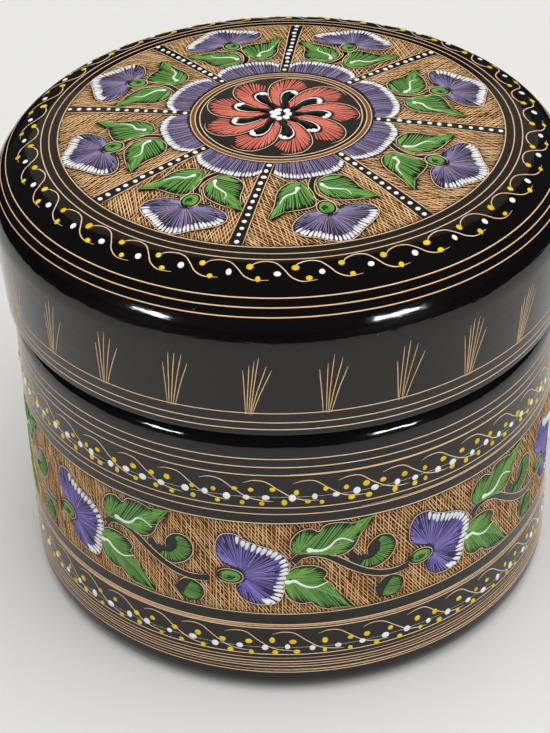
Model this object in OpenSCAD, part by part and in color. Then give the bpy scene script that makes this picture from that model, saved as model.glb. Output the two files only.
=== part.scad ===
// Round turned-wood trinket box with a lift-off lid.
// The lid is a shallow dome with a rolled shoulder and drops over a neck
// turned on the body. Both pieces are turned, lacquered black and scribed
// with rings on the lathe. Origin at the centre of the foot, +Z up, in mm.

/* [Body] */
// Outside diameter of the body
body_d = 98.4; // [90:0.2:110]
// Height of the shoulder that the lid sits on
body_h = 59.6; // [45:0.2:80]
// Thickness of the floor
floor_t = 6; // [4:0.5:10]
// Radius of the rolled edge round the foot
foot_round = 4; // [2:0.5:6]
// Radius of the rounded edge under the seam
seam_round = 2; // [1:0.25:3]
// Radius of the cove between the floor and the inside wall
cove_r = 7; // [3:0.5:10]
// Width of the ring that the box stands on
foot_ring_w = 9; // [5:0.5:14]
// Depth of the hollow turned in the underside
foot_hollow = 1.2; // [0.6:0.2:2]

/* [Neck] */
// Height of the neck above the shoulder
neck_h = 9; // [6:0.5:14]
// Thickness of the neck's wall
neck_wall = 2.6; // [2:0.2:4]
// Gap between the neck and the lid, on the radius
neck_gap = 0.3; // [0.2:0.05:0.6]
// Chamfer at the top of the neck
neck_chamfer = 0.8; // [0.4:0.1:1.2]

/* [Lid] */
// Step by which the lid's rim stands out past the body, on the radius
rim_proud = 0.9; // [0.2:0.1:3]
// Spread of the lid's skirt from its rim up to its shoulder, on the radius
skirt_flare = 1.1; // [0:0.1:3]
// Height of the lid from the seam to its crown
lid_h = 30.4; // [26:0.2:40]
// Radius of the rolled shoulder
shoulder_r = 11; // [7:0.5:13]
// Height that the crown rises over the top
dome_rise = 2.8; // [1.5:0.1:4]
// Width of the band between the edge of the domed top and the lid's outside
dome_margin = 9.7; // [7:0.1:14]
// Thickness of the lid's wall at its rim
rim_wall = 4.5; // [3.5:0.25:6]
// Thickness of the lid at its crown
crown_t = 6.5; // [5:0.5:9]
// Radius of the rounded lower edge of the rim
rim_round = 0.8; // [0.4:0.1:1.5]

/* [Scribed rings] */
// Width of a ring cut by the scribing point
scribe_w = 0.36; // [0.2:0.02:0.6]
// Radii of the rings round the centre flower
centre_rings = [14, 14.8, 15.6];
// Distances in from the lid's outside of the rings round its field of flowers
field_rings = [12.6, 11.1, 9.7];
// Angles down the shoulder of the rings under the dotted band, in degrees
shoulder_rings = [44, 52, 60];
// Heights above the seam of the rings round the rim
rim_rings = [0.95, 2.15, 3.85];
// Depths below the seam of the rings over the body's upper dotted band
upper_rings = [6.3, 8, 9.7];
// Depths below the seam of the rings over the body's field of flowers
over_field_rings = [16.6, 18, 20];
// Heights of the rings under the body's field of flowers
under_field_rings = [19.1, 16.6, 15.7];
// Heights of the rings round the foot
foot_rings = [9.5, 7.8, 6.6, 5.2];

/* [Hidden] */
lacquer_black = [0.07, 0.065, 0.065];
segments = 180;
arc_steps = 14;
dome_steps = 10;
over = 1; // how far a cut runs past the face it opens

body_r = body_d / 2;
rim_r = body_r + rim_proud;
lid_r = rim_r + skirt_flare;
lid_bore_r = rim_r - rim_wall;
neck_r = lid_bore_r - neck_gap;
bore_r = neck_r - neck_wall;
crown_z = body_h + lid_h;
ceiling_z = crown_z - crown_t;
// the crown is part of a sphere through its middle and its edge
dome_r = lid_r - dome_margin;
sphere_r = (dome_r * dome_r + dome_rise * dome_rise) / (2 * dome_rise);
sphere_z = crown_z - sphere_r;
// the shoulder's arc is tangent to the crown's from inside
shoulder_x = lid_r - shoulder_r;
shoulder_z = sphere_z + sqrt(pow(sphere_r - shoulder_r, 2) - shoulder_x * shoulder_x);
tangent_a = asin(shoulder_x / (sphere_r - shoulder_r));

// Points of an arc round [x, z], from angle a0 to a1
function arc(x, z, r, a0, a1, steps = arc_steps) =
    [for (i = [0:steps]) let (a = a0 + (a1 - a0) * i / steps) [x + r * cos(a), z + r * sin(a)]];

// Where a ring of radius r lies on the crown
function on_dome(r) = [r, sphere_z + sqrt(sphere_r * sphere_r - r * r)];

// Where a ring lies on the shoulder, a degrees down from the top of its arc
function on_shoulder(a) = [shoulder_x + shoulder_r * sin(a), shoulder_z + shoulder_r * cos(a)];

// Radius of the lid's skirt at a height above the seam
function skirt_r(h) = rim_r + (lid_r - rim_r) * h / (shoulder_z - body_h);

// One ring in the profile, as the point of the scribing tool leaves it
module scribe(at) {
    translate(at) circle(d = scribe_w, $fn = 4);
}

// Outside of the body, from the foot up to the neck
module body_outline() {
    polygon(concat(
        [[0, 0]],
        arc(body_r - foot_round, foot_round, foot_round, -90, 0),
        arc(body_r - seam_round, body_h - seam_round, seam_round, 0, 90),
        [
            [neck_r, body_h],
            [neck_r, body_h + neck_h - neck_chamfer],
            [neck_r - neck_chamfer, body_h + neck_h],
            [0, body_h + neck_h]
        ]
    ));
}

// The bowl turned out of the body
module body_hollow() {
    polygon(concat(
        [[0, floor_t]],
        arc(bore_r - cove_r, floor_t + cove_r, cove_r, -90, 0),
        [[bore_r, body_h + neck_h + over], [0, body_h + neck_h + over]]
    ));
}

// The shallow hollow that leaves the box standing on a ring
module foot_recess() {
    recess_r = body_r - foot_round - foot_ring_w;
    polygon([
        [0, -over],
        [recess_r + over, -over],
        [recess_r, 0],
        [recess_r - foot_hollow, foot_hollow],
        [0, foot_hollow]
    ]);
}

module body_scribes() {
    for (depth = concat(upper_rings, over_field_rings)) scribe([body_r, body_h - depth]);
    for (height = concat(under_field_rings, foot_rings)) scribe([body_r, height]);
}

module box_body() {
    color(lacquer_black)
        rotate_extrude($fn = segments)
            difference() {
                body_outline();
                body_hollow();
                foot_recess();
                body_scribes();
            }
}

// Outside of the lid: the rim, the skirt, the rolled shoulder and the crown
module lid_outline() {
    polygon(concat(
        [[0, body_h]],
        arc(rim_r - rim_round, body_h + rim_round, rim_round, -90, 0, 4),
        arc(shoulder_x, shoulder_z, shoulder_r, 0, 90 - tangent_a),
        [for (i = [1:dome_steps]) on_dome((1 - i / dome_steps) * shoulder_r_top())]
    ));
}

// Radius at which the crown's arc meets the shoulder's
function shoulder_r_top() = sphere_r * sin(tangent_a);

// The hollow turned out of the lid, wide enough for the neck
module lid_hollow() {
    polygon(concat(
        [[0, body_h - over], [lid_bore_r, body_h - over]],
        arc(lid_bore_r - cove_r, ceiling_z - cove_r, cove_r, 0, 90),
        [[0, ceiling_z]]
    ));
}

module lid_scribes() {
    for (r = centre_rings) scribe(on_dome(r));
    for (inset = field_rings) scribe(on_dome(lid_r - inset));
    for (a = shoulder_rings) scribe(on_shoulder(a));
    for (h = rim_rings) scribe([skirt_r(h), body_h + h]);
}

module lid() {
    color(lacquer_black)
        rotate_extrude($fn = segments)
            difference() {
                lid_outline();
                lid_hollow();
                lid_scribes();
            }
}

box_body();
lid();
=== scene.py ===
"""Looks of a round lacquered trinket box, scribed and painted with flowers.

Every piece is made in the box's own frame: the origin is the centre of the
foot, +Z is up and the finished meshes are in metres. The ornament is drawn
flat, in millimetres, and is then laid on the turned wood by Geometry Nodes.
"""
import logging
import math
from dataclasses import dataclass, field, replace
from enum import Enum
from functools import partial
from typing import Callable, Iterable

import bpy
import numpy as np
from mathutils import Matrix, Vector


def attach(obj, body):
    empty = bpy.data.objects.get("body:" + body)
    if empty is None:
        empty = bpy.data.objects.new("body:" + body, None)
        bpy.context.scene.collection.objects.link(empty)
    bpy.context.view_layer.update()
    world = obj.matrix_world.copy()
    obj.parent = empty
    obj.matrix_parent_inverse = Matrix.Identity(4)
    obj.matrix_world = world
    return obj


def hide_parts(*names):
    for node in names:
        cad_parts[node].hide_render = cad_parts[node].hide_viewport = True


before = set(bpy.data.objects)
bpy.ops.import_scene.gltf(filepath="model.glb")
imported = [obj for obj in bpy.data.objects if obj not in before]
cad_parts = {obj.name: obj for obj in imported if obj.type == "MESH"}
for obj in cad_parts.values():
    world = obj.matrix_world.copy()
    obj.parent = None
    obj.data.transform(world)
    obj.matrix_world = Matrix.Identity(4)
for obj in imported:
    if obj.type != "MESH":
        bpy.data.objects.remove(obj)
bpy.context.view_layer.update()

log = logging.getLogger("trinket_box")
MM = 0.001
TURN = 2.0 * math.pi
RING_POINTS = 241
RING_HALF = 0.11
TOOTH_DEPTH = 0.2
BORDER_HALF = 0.075


class Body(Enum):
    """The two bodies of the frame that a piece can ride on."""

    BOX = "body"
    LID = "lid"


class Slot(Enum):
    """The material slots of the record."""

    BOX = "body_lacquer"
    LID = "lid_lacquer"


Path = np.ndarray
Knots = list[tuple[float, float]]
Colour = tuple[int, int, int]
Socket = bpy.types.NodeSocket
VIOLET = ("violet_wash", "violet")
DEEP_VIOLET = ("deep_violet_wash", "deep_violet")
GREEN = ("green_wash", "green")
RED = ("red_wash", "red")


# Colours


def linear(red: int, green: int, blue: int) -> tuple[float, float, float, float]:
    """Turns a screen colour into the linear colour that a shader takes.

    Args:
        red, green, blue: The colour as 0 to 255 values.

    Returns:
        The linear colour with an alpha of 1.
    """
    def channel(value: int) -> float:
        """Returns one channel's linear value."""
        share = value / 255.0
        return share / 12.92 if share <= 0.04045 else ((share + 0.055) / 1.055) ** 2.4
    return channel(red), channel(green), channel(blue), 1.0


# Node trees


class Sketch:
    """Adds nodes to one tree and joins them, so a tree reads like its formula."""

    def __init__(self, tree: bpy.types.NodeTree) -> None:
        """Keeps the tree that the nodes go into."""
        self.tree = tree

    def add(self, kind: str, inputs: dict | None = None, **settings) -> bpy.types.Node:
        """Adds one node.

        Args:
            kind: The node's type name.
            inputs: Values or sockets for its inputs, by name or number.
            settings: Values of the node's own properties.

        Returns:
            The node.
        """
        node = self.tree.nodes.new(kind)
        for name, value in settings.items():
            setattr(node, name, value)
        for name, value in (inputs or {}).items():
            self.feed(value, node.inputs[name])
        return node

    def feed(self, value: object, socket: Socket) -> None:
        """Links an output to the socket, or sets the socket's own value.

        Args:
            value: The output or the value.
            socket: The input that takes it.
        """
        if isinstance(value, Socket):
            self.tree.links.new(value, socket)
        else:
            socket.default_value = value

    def first(self, kind: str, inputs: dict | None = None, **settings) -> Socket:
        """Adds one node and returns its first output."""
        return self.add(kind, inputs, **settings).outputs[0]

    def math(self, operation: str, first: object, second: object = 0.0) -> Socket:
        """Returns the result of a Math node on two values or sockets."""
        return self.first("ShaderNodeMath", {0: first, 1: second}, operation=operation)

    def times(self, first: object, second: object) -> Socket:
        """Returns the product of two values or sockets."""
        return self.math("MULTIPLY", first, second)

    def plus(self, first: object, second: object) -> Socket:
        """Returns the sum of two values or sockets."""
        return self.math("ADD", first, second)

    def vector(self, x: object = 0.0, y: object = 0.0, z: object = 0.0) -> Socket:
        """Returns a vector put together from three values or sockets."""
        return self.first("ShaderNodeCombineXYZ", {"X": x, "Y": y, "Z": z})

    def split(self, vector: Socket) -> bpy.types.NodeOutputs:
        """Returns the three parts of a vector."""
        return self.add("ShaderNodeSeparateXYZ", {"Vector": vector}).outputs

    def from_axis(self, x: Socket, y: Socket) -> Socket:
        """Returns how far a place lies from the box's axis."""
        return self.math("SQRT", self.plus(self.times(x, x), self.times(y, y)))

    def object_place(self) -> Socket:
        """Returns the place in the object's own coordinates."""
        return self.add("ShaderNodeTexCoord").outputs["Object"]

    def attribute(self, name: str, kind: str = "FLOAT") -> Socket:
        """Returns a named attribute of the geometry."""
        return self.first("GeometryNodeInputNamedAttribute", {"Name": name}, data_type=kind)

    def mix(self, share: object, first: object, second: object) -> Socket:
        """Returns the colour that lies that share of the way from first to second."""
        node = self.add("ShaderNodeMix", {0: share, 6: first, 7: second}, data_type="RGBA")
        return node.outputs[2]


def new_tree(
    name: str, kind: str, inputs: dict[str, tuple], outputs: dict[str, tuple]
) -> tuple[bpy.types.NodeTree, Sketch, bpy.types.NodeOutputs]:
    """Makes an empty node tree with named sockets.

    Args:
        name: Name of the tree.
        kind: Type name of the tree.
        inputs: Socket type, and its first value where it has one, by socket name.
        outputs: The same for the outputs.

    Returns:
        The tree, its sketch and the outputs of its Group Input node.
    """
    tree = bpy.data.node_groups.new(name, kind)
    for side, sockets in (("INPUT", inputs), ("OUTPUT", outputs)):
        for label, (socket_type, *first) in sockets.items():
            socket = tree.interface.new_socket(name=label, in_out=side, socket_type=socket_type)
            if first:
                socket.default_value = first[0]
    sketch = Sketch(tree)
    return tree, sketch, sketch.add("NodeGroupInput").outputs


SEED_STEP = 0.37
DROP_STRETCH = (0.86, 1.16)
WELD = 1e-7


def on_turned_form(sketch: Sketch, given: bpy.types.NodeOutputs) -> tuple[Socket, Socket, Socket]:
    """Adds the nodes that carry a flat drawing onto the turned wood.

    A point of the drawing holds its turn about the axis in x, its way along
    the profile in y and its height over the wood in z. A noise moves it by a
    hair, so that no two repeats are quite the same.

    Args:
        sketch: The tree's sketch.
        given: Outputs of the tree's Group Input node.

    Returns:
        The sockets of the place on the wood, the outward direction there and
        the direction round the axis.
    """
    turn, way, lift = sketch.split(sketch.first("GeometryNodeInputPosition"))[:3]
    seed = sketch.times(given["Seed"], SEED_STEP)
    where = sketch.vector(sketch.times(turn, given["Radius"]), way, seed)
    noise = sketch.add("ShaderNodeTexNoise", {"Vector": where, "Scale": given["Grain"], "Detail": 1.0})
    drift = sketch.split(noise.outputs["Color"])
    round_shift, way_shift = (
        sketch.times(sketch.math("SUBTRACT", drift[axis], 0.5), given["Wander"]) for axis in (0, 1)
    )
    angle = sketch.plus(turn, sketch.math("DIVIDE", round_shift, given["Radius"]))
    along = sketch.plus(way, way_shift)
    form = sketch.add("GeometryNodeObjectInfo", {"Object": given["Form"]})
    profile = sketch.first("GeometryNodeMeshToCurve", {"Mesh": form.outputs["Geometry"]})
    sample = sketch.add("GeometryNodeSampleCurve", {"Curves": profile, "Length": along}, mode="LENGTH")
    spot = sketch.split(sample.outputs["Position"])
    tangent = sketch.split(sample.outputs["Tangent"])
    cosine, sine = sketch.math("COSINE", angle), sketch.math("SINE", angle)
    out_x, out_z = sketch.times(tangent[2], -1.0), tangent[0]
    radius = sketch.plus(spot[0], sketch.times(out_x, lift))
    height = sketch.plus(spot[2], sketch.times(out_z, lift))
    place = sketch.vector(sketch.times(radius, cosine), sketch.times(radius, sine), height)
    outward = sketch.vector(sketch.times(out_x, cosine), sketch.times(out_x, sine), out_z)
    across = sketch.vector(sketch.times(sine, -1.0), cosine, 0.0)
    return place, outward, across


LAYING_INPUTS = {
    "Geometry": ("NodeSocketGeometry",),
    "Anchors": ("NodeSocketObject",),
    "Form": ("NodeSocketObject",),
    "Radius": ("NodeSocketFloat", 0.05),
    "Wander": ("NodeSocketFloat", 0.0),
    "Grain": ("NodeSocketFloat", 150.0),
    "Seed": ("NodeSocketInt", 1),
    "Relief": ("NodeSocketFloat", 0.2),
    "Sides": ("NodeSocketInt", 6),
    "Material": ("NodeSocketMaterial",),
}
ONE_GEOMETRY = {"Geometry": ("NodeSocketGeometry",)}


def repeat_at_anchors(sketch: Sketch, given: bpy.types.NodeOutputs) -> Socket:
    """Adds the nodes that repeat the drawing at each anchor and make it real.

    Args:
        sketch: The tree's sketch.
        given: Outputs of the tree's Group Input node.

    Returns:
        The repeated drawing.
    """
    anchors = sketch.add("GeometryNodeObjectInfo", {"Object": given["Anchors"]}).outputs["Geometry"]
    placing = {"Points": anchors, "Instance": given["Geometry"]}
    copies = sketch.first("GeometryNodeInstanceOnPoints", placing)
    return sketch.first("GeometryNodeRealizeInstances", {"Geometry": copies})


def finish_tree(sketch: Sketch, given: bpy.types.NodeOutputs, shape: Socket) -> None:
    """Smooths the shape, makes it real and gives it its material.

    Args:
        sketch: The tree's sketch.
        given: Outputs of the tree's Group Input node.
        shape: The geometry to finish.
    """
    smoothed = sketch.first("GeometryNodeSetShadeSmooth", {"Geometry": shape})
    real = sketch.first("GeometryNodeRealizeInstances", {"Geometry": smoothed})
    dressing = {"Geometry": real, "Material": given["Material"]}
    sketch.add("NodeGroupOutput", {"Geometry": sketch.first("GeometryNodeSetMaterial", dressing)})


def stroke_tree() -> bpy.types.NodeTree:
    """Makes the tree that lays drawn lines on the wood as low rounded ribs.

    Returns:
        The tree, which reads each point's half width from `breadth`.
    """
    tree, sketch, given = new_tree("laid_strokes", "GeometryNodeTree", LAYING_INPUTS, ONE_GEOMETRY)
    drawn = repeat_at_anchors(sketch, given)
    place, outward, _ = on_turned_form(sketch, given)
    lines = sketch.first("GeometryNodeMeshToCurve", {"Mesh": drawn})
    facing = sketch.first("GeometryNodeSetCurveNormal", {"Curve": lines, "Normal": outward}, mode="FREE")
    laid = sketch.first("GeometryNodeSetPosition", {"Geometry": facing, "Position": place})
    ring = sketch.first("GeometryNodeCurvePrimitiveCircle", {"Resolution": given["Sides"], "Radius": 1.0})
    flat = sketch.vector(given["Relief"], 1.0, 1.0)
    section = sketch.first("GeometryNodeTransform", {"Geometry": ring, "Scale": flat})
    breadth = sketch.attribute("breadth")
    sweep = {"Curve": laid, "Profile Curve": section, "Scale": breadth, "Fill Caps": True}
    finish_tree(sketch, given, sketch.first("GeometryNodeCurveToMesh", sweep))
    return tree


def bead_tree() -> bpy.types.NodeTree:
    """Makes the tree that sets drops of paint on the wood.

    Returns:
        The tree, which reads each drop's half width from `breadth`.
    """
    tree, sketch, given = new_tree("laid_beads", "GeometryNodeTree", LAYING_INPUTS, ONE_GEOMETRY)
    points = repeat_at_anchors(sketch, given)
    place, outward, across = on_turned_form(sketch, given)
    for name, value in (("outward", outward), ("across", across)):
        stored = {"Geometry": points, "Name": name, "Value": value}
        points = sketch.first("GeometryNodeStoreNamedAttribute", stored, data_type="FLOAT_VECTOR")
    laid = sketch.first("GeometryNodeSetPosition", {"Geometry": points, "Position": place})
    axes = {
        "Primary Axis": sketch.attribute("outward", "FLOAT_VECTOR"),
        "Secondary Axis": sketch.attribute("across", "FLOAT_VECTOR"),
    }
    turn = sketch.first("FunctionNodeAxesToRotation", axes)
    limits = {2: DROP_STRETCH[0], 3: DROP_STRETCH[1], "Seed": given["Seed"]}
    stretch = sketch.add("FunctionNodeRandomValue", limits, data_type="FLOAT").outputs[1]
    half = sketch.attribute("breadth")
    longer, narrower = sketch.times(half, stretch), sketch.math("DIVIDE", half, stretch)
    size = sketch.vector(longer, narrower, sketch.times(half, given["Relief"]))
    ball = sketch.first("GeometryNodeMeshIcoSphere", {"Radius": 1.0, "Subdivisions": 3})
    drops = {"Points": laid, "Instance": ball, "Rotation": turn, "Scale": size}
    finish_tree(sketch, given, sketch.first("GeometryNodeInstanceOnPoints", drops))
    return tree


def turning_tree() -> bpy.types.NodeTree:
    """Makes the tree that turns a profile into a closed round shape.

    Returns:
        The tree, which takes the profile with radii in x and heights in z.
    """
    inputs = {
        "Geometry": ("NodeSocketGeometry",),
        "Facets": ("NodeSocketInt", 256),
        "Hub": ("NodeSocketFloat", 0.001),
        "Material": ("NodeSocketMaterial",),
    }
    tree, sketch, given = new_tree("turned_form", "GeometryNodeTree", inputs, ONE_GEOMETRY)
    drawn = sketch.split(sketch.first("GeometryNodeInputPosition"))
    flat = sketch.vector(
        sketch.math("SUBTRACT", drawn[0], given["Hub"]), sketch.times(drawn[2], -1.0), 0.0
    )
    laid = sketch.first("GeometryNodeSetPosition", {"Geometry": given["Geometry"], "Position": flat})
    profile = sketch.first("GeometryNodeMeshToCurve", {"Mesh": laid})
    hub = {"Resolution": given["Facets"], "Radius": given["Hub"]}
    path = sketch.first("GeometryNodeCurvePrimitiveCircle", hub)
    sweep = {"Curve": path, "Profile Curve": profile, "Scale": 1.0}
    swept = sketch.first("GeometryNodeCurveToMesh", sweep)
    closed = sketch.first("GeometryNodeMergeByDistance", {"Geometry": swept, "Distance": WELD})
    finish_tree(sketch, given, closed)
    return tree


class Trees:
    """The Geometry Nodes trees, each built once."""

    def __init__(self) -> None:
        """Builds the trees."""
        self.strokes = stroke_tree()
        self.beads = bead_tree()
        self.turning = turning_tree()


def line_mesh(name: str, paths: Iterable[Path], spans: dict[str, list[np.ndarray]]) -> bpy.types.Object:
    """Makes a mesh of open lines for a tree to work on.

    Args:
        name: Name of the object.
        paths: Points of each line, three numbers a point.
        spans: Values at the points of each line, by attribute name.

    Returns:
        The object, which no collection holds.
    """
    paths = list(paths)
    points = np.concatenate(paths)
    edges = []
    first = 0
    for path in paths:
        edges += [(first + i, first + i + 1) for i in range(len(path) - 1)]
        first += len(path)
    mesh = bpy.data.meshes.new(name)
    mesh.from_pydata(points.tolist(), edges, [])
    for label, values in spans.items():
        layer = mesh.attributes.new(label, "FLOAT", "POINT")
        layer.data.foreach_set("value", np.concatenate(values).astype(np.float32))
    return bpy.data.objects.new(name, mesh)


def grow(name: str, start: bpy.types.Object, tree: bpy.types.NodeTree, values: dict) -> bpy.types.Object:
    """Runs a tree on an object and keeps the result as a plain mesh.

    Args:
        name: Name of the piece.
        start: The object that the tree works on, which is used up.
        tree: The Geometry Nodes tree.
        values: Values of the tree's inputs, by name.

    Returns:
        The piece.
    """
    bpy.context.scene.collection.objects.link(start)
    modifier = start.modifiers.new(tree.name, "NODES")
    modifier.node_group = tree
    for socket in tree.interface.items_tree:
        if socket.in_out == "INPUT" and socket.name in values:
            modifier[socket.identifier] = values[socket.name]
    graph = bpy.context.evaluated_depsgraph_get()
    graph.update()
    mesh = bpy.data.meshes.new_from_object(start.evaluated_get(graph), depsgraph=graph)
    mesh.name = name
    start.modifiers.remove(modifier)
    bpy.data.objects.remove(start)
    piece = bpy.data.objects.new(name, mesh)
    bpy.context.scene.collection.objects.link(piece)
    return piece


# Drawing by hand


def smooth(points: Iterable[tuple[float, float]], step: float = 0.5, closed: bool = False) -> Path:
    """Draws one smooth line through points.

    Args:
        points: The points that the hand passes through.
        step: About how far apart the points of the line lie.
        closed: True if the line comes back to its start.

    Returns:
        The line's points.
    """
    knots = np.array(list(points), dtype=float)
    ring = np.vstack([knots[-1], knots, knots[0], knots[1]]) if closed else np.vstack(
        [2 * knots[0] - knots[1], knots, 2 * knots[-1] - knots[-2]]
    )
    parts = []
    for a, b, c, d in zip(ring, ring[1:], ring[2:], ring[3:]):
        count = max(2, int(np.linalg.norm(c - b) / step) + 1)
        t = np.linspace(0.0, 1.0, count, endpoint=False)[:, None]
        square, cube = 2 * a - 5 * b + 4 * c - d, 3 * b - a - 3 * c + d
        parts.append(0.5 * (2 * b + (c - a) * t + square * t**2 + cube * t**3))
    parts.append(ring[-2][None])
    return np.vstack(parts)


def polar(degrees: float, radius: float) -> np.ndarray:
    """Returns the point at an angle and a radius, seen from above."""
    return radius * np.array([math.cos(math.radians(degrees)), math.sin(math.radians(degrees))])


def straight(start: tuple[float, float], end: tuple[float, float], count: int = 2) -> Path:
    """Returns a straight line of points from start to end."""
    t = np.linspace(0.0, 1.0, count)[:, None]
    return np.array(start) * (1 - t) + np.array(end) * t


def placed(path: Path, origin: tuple[float, float], degrees: float) -> Path:
    """Turns a line about its own zero and moves it to its place.

    Args:
        path: The line's points.
        origin: Where its zero comes to lie.
        degrees: How far it is turned.

    Returns:
        The placed line.
    """
    turn = math.radians(degrees)
    matrix = np.array([[math.cos(turn), -math.sin(turn)], [math.sin(turn), math.cos(turn)]])
    return path @ matrix.T + np.array(origin)


def inside(points: np.ndarray, outline: Path) -> np.ndarray:
    """Tells which points lie inside a closed outline.

    Args:
        points: The points to test.
        outline: The outline's corners.

    Returns:
        True for each point inside.
    """
    x, y = points[:, 0:1], points[:, 1:2]
    ax, ay = outline[:, 0], outline[:, 1]
    bx, by = np.roll(ax, -1), np.roll(ay, -1)
    rise = np.where(by == ay, 1e-9, by - ay)
    crosses = ((ay > y) != (by > y)) & (x < (bx - ax) * (y - ay) / rise + ax)
    return crosses.sum(axis=1) % 2 == 1


def taper(count: int, breadth: float, head: float = 0.3, tail: float = 0.3) -> np.ndarray:
    """Returns half widths along a stroke that thins towards its two ends.

    Args:
        count: Number of points.
        breadth: Half width at the middle.
        head: Share of it at the first point.
        tail: Share of it at the last point.

    Returns:
        The half widths.
    """
    t = np.linspace(0.0, 1.0, count)
    ends = np.minimum(1.0, np.minimum(head + 5.0 * t, tail + 5.0 * (1.0 - t)))
    return breadth * ends


class Drawing:
    """The strokes and drops of one paint on one flat sheet, in millimetres."""

    def __init__(self, seed: int = 1) -> None:
        """Starts an empty sheet with its own steady hand.

        Args:
            seed: Seed of the hand.
        """
        self.hand = np.random.default_rng(seed)
        self.paths: list[Path] = []
        self.breadths: list[np.ndarray] = []
        self.shades: list[float] = []

    def stroke(self, path: Path, breadth: float | np.ndarray, head: float = 0.3, tail: float = 0.3) -> None:
        """Adds one stroke.

        Args:
            path: The stroke's points.
            breadth: Its half width, or the half width at each point.
            head: Share of the half width at the start.
            tail: Share of the half width at the end.
        """
        widths = breadth if isinstance(breadth, np.ndarray) else taper(len(path), breadth, head, tail)
        self.paths.append(np.asarray(path, dtype=float))
        self.breadths.append(widths)
        self.shades.append(float(self.hand.uniform()))

    def ring(self, way: float, breadth: float, full_turn: float = TURN) -> None:
        """Adds a line of even width once round the axis."""
        turns = np.linspace(0.0, full_turn, RING_POINTS)
        self.stroke(np.column_stack([turns, np.full(RING_POINTS, way)]), np.full(RING_POINTS, breadth))

    def drop(self, spot: tuple[float, float], breadth: float) -> None:
        """Adds one round drop."""
        self.stroke(np.array([spot]), np.array([breadth]))

    def drop_beside(self, x: float, chain: "Chain") -> None:
        """Adds one drop of a chain, near its place beside a curve.

        Args:
            x: Where the curve stands.
            chain: The chain.
        """
        spot = (x + chain.along + self.spread(chain.drift), chain.height + self.spread(chain.rise))
        self.drop(spot, chain.half + self.spread(chain.uneven))

    def add(self, other: "Drawing", mapping: Callable[[Path], Path]) -> None:
        """Adds all strokes of another sheet, each point taken through the mapping."""
        for path, breadth in zip(other.paths, other.breadths):
            self.stroke(mapping(path), breadth)

    def spread(self, amount: float) -> float:
        """Returns a random amount up to plus or minus the one given."""
        return float(self.hand.uniform(-amount, amount))


@dataclass(frozen=True)
class Chain:
    """A chain of drops round the box: its place beside each curve, its size and its unsteadiness."""

    along: float
    height: float
    half: float
    drift: float
    rise: float
    uneven: float


def sideways(path: Path) -> Path:
    """Returns the direction to the left of a line at each of its points.

    Args:
        path: The line's points.

    Returns:
        The directions, one unit long.
    """
    way = np.gradient(path, axis=0)
    side = np.column_stack([-way[:, 1], way[:, 0]])
    return side / np.linalg.norm(side, axis=1)[:, None]


def grown(outline: Path, by: float) -> Path:
    """Returns a closed outline pushed outwards by a distance.

    Args:
        outline: The outline's corners.
        by: The distance.

    Returns:
        The new outline.
    """
    x, y = outline[:, 0], outline[:, 1]
    area = np.sum(x * np.roll(y, -1) - np.roll(x, -1) * y)
    return outline - math.copysign(by, area) * sideways(outline)


def way_along(path: Path) -> np.ndarray:
    """Returns how far along a line each of its points lies."""
    return np.concatenate([[0.0], np.cumsum(np.linalg.norm(np.diff(path, axis=0), axis=1))])


def on_line(path: Path, share: float) -> np.ndarray:
    """Returns the point that lies a share of the way along a line.

    Args:
        path: The line's points.
        share: The share, held between 0 and 1.

    Returns:
        The point.
    """
    way = way_along(path)
    spot = np.clip(share, 0.0, 1.0) * way[-1]
    return np.array([np.interp(spot, way, path[:, axis]) for axis in (0, 1)])


def fan(
    sheet: Drawing,
    root: Path,
    edge: Path,
    count: int,
    breadth: tuple[float, float],
    reach: tuple[float, float] = (0.0, 1.0),
    lean: float = 0.0,
    swell: float = 0.0,
    teeth: float = 0.0,
) -> None:
    """Fills the space between two lines with brush strokes side by side.

    Args:
        sheet: The sheet to draw on.
        root: The line that the strokes start from.
        edge: The line that they end on.
        count: Number of strokes.
        breadth: Half width at the start and at the end.
        reach: Shares of the way at which a stroke starts and ends.
        lean: How far the strokes lean forward, as a share of the lines' length.
        swell: How much the strokes' width comes and goes along the lines.
        teeth: Number of teeth along the line that the strokes end on.
    """
    steps, uneven, swells, tip = 6, 0.03, 4.0, 0.35
    way = np.linspace(0.0, 1.0, steps)
    for index in range(count):
        share = (index + 0.5 + sheet.spread(0.25)) / count
        start, end = on_line(root, max(0.0, share - lean)), on_line(edge, share)
        notch = TOOTH_DEPTH * (1.0 - (share * teeth) % 1.0) if teeth else 0.0
        first = reach[0] + sheet.spread(uneven)
        last = reach[1] - notch + sheet.spread(uneven)
        t = np.linspace(first, last, steps)[:, None]
        widths = breadth[0] + (breadth[1] - breadth[0]) * way**0.8
        widths[-1] *= tip
        wide = 1.0 + sheet.spread(0.2) + swell * math.sin(share * swells * TURN)
        sheet.stroke(start + (end - start) * t, widths * wide)


# Finishes


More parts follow.
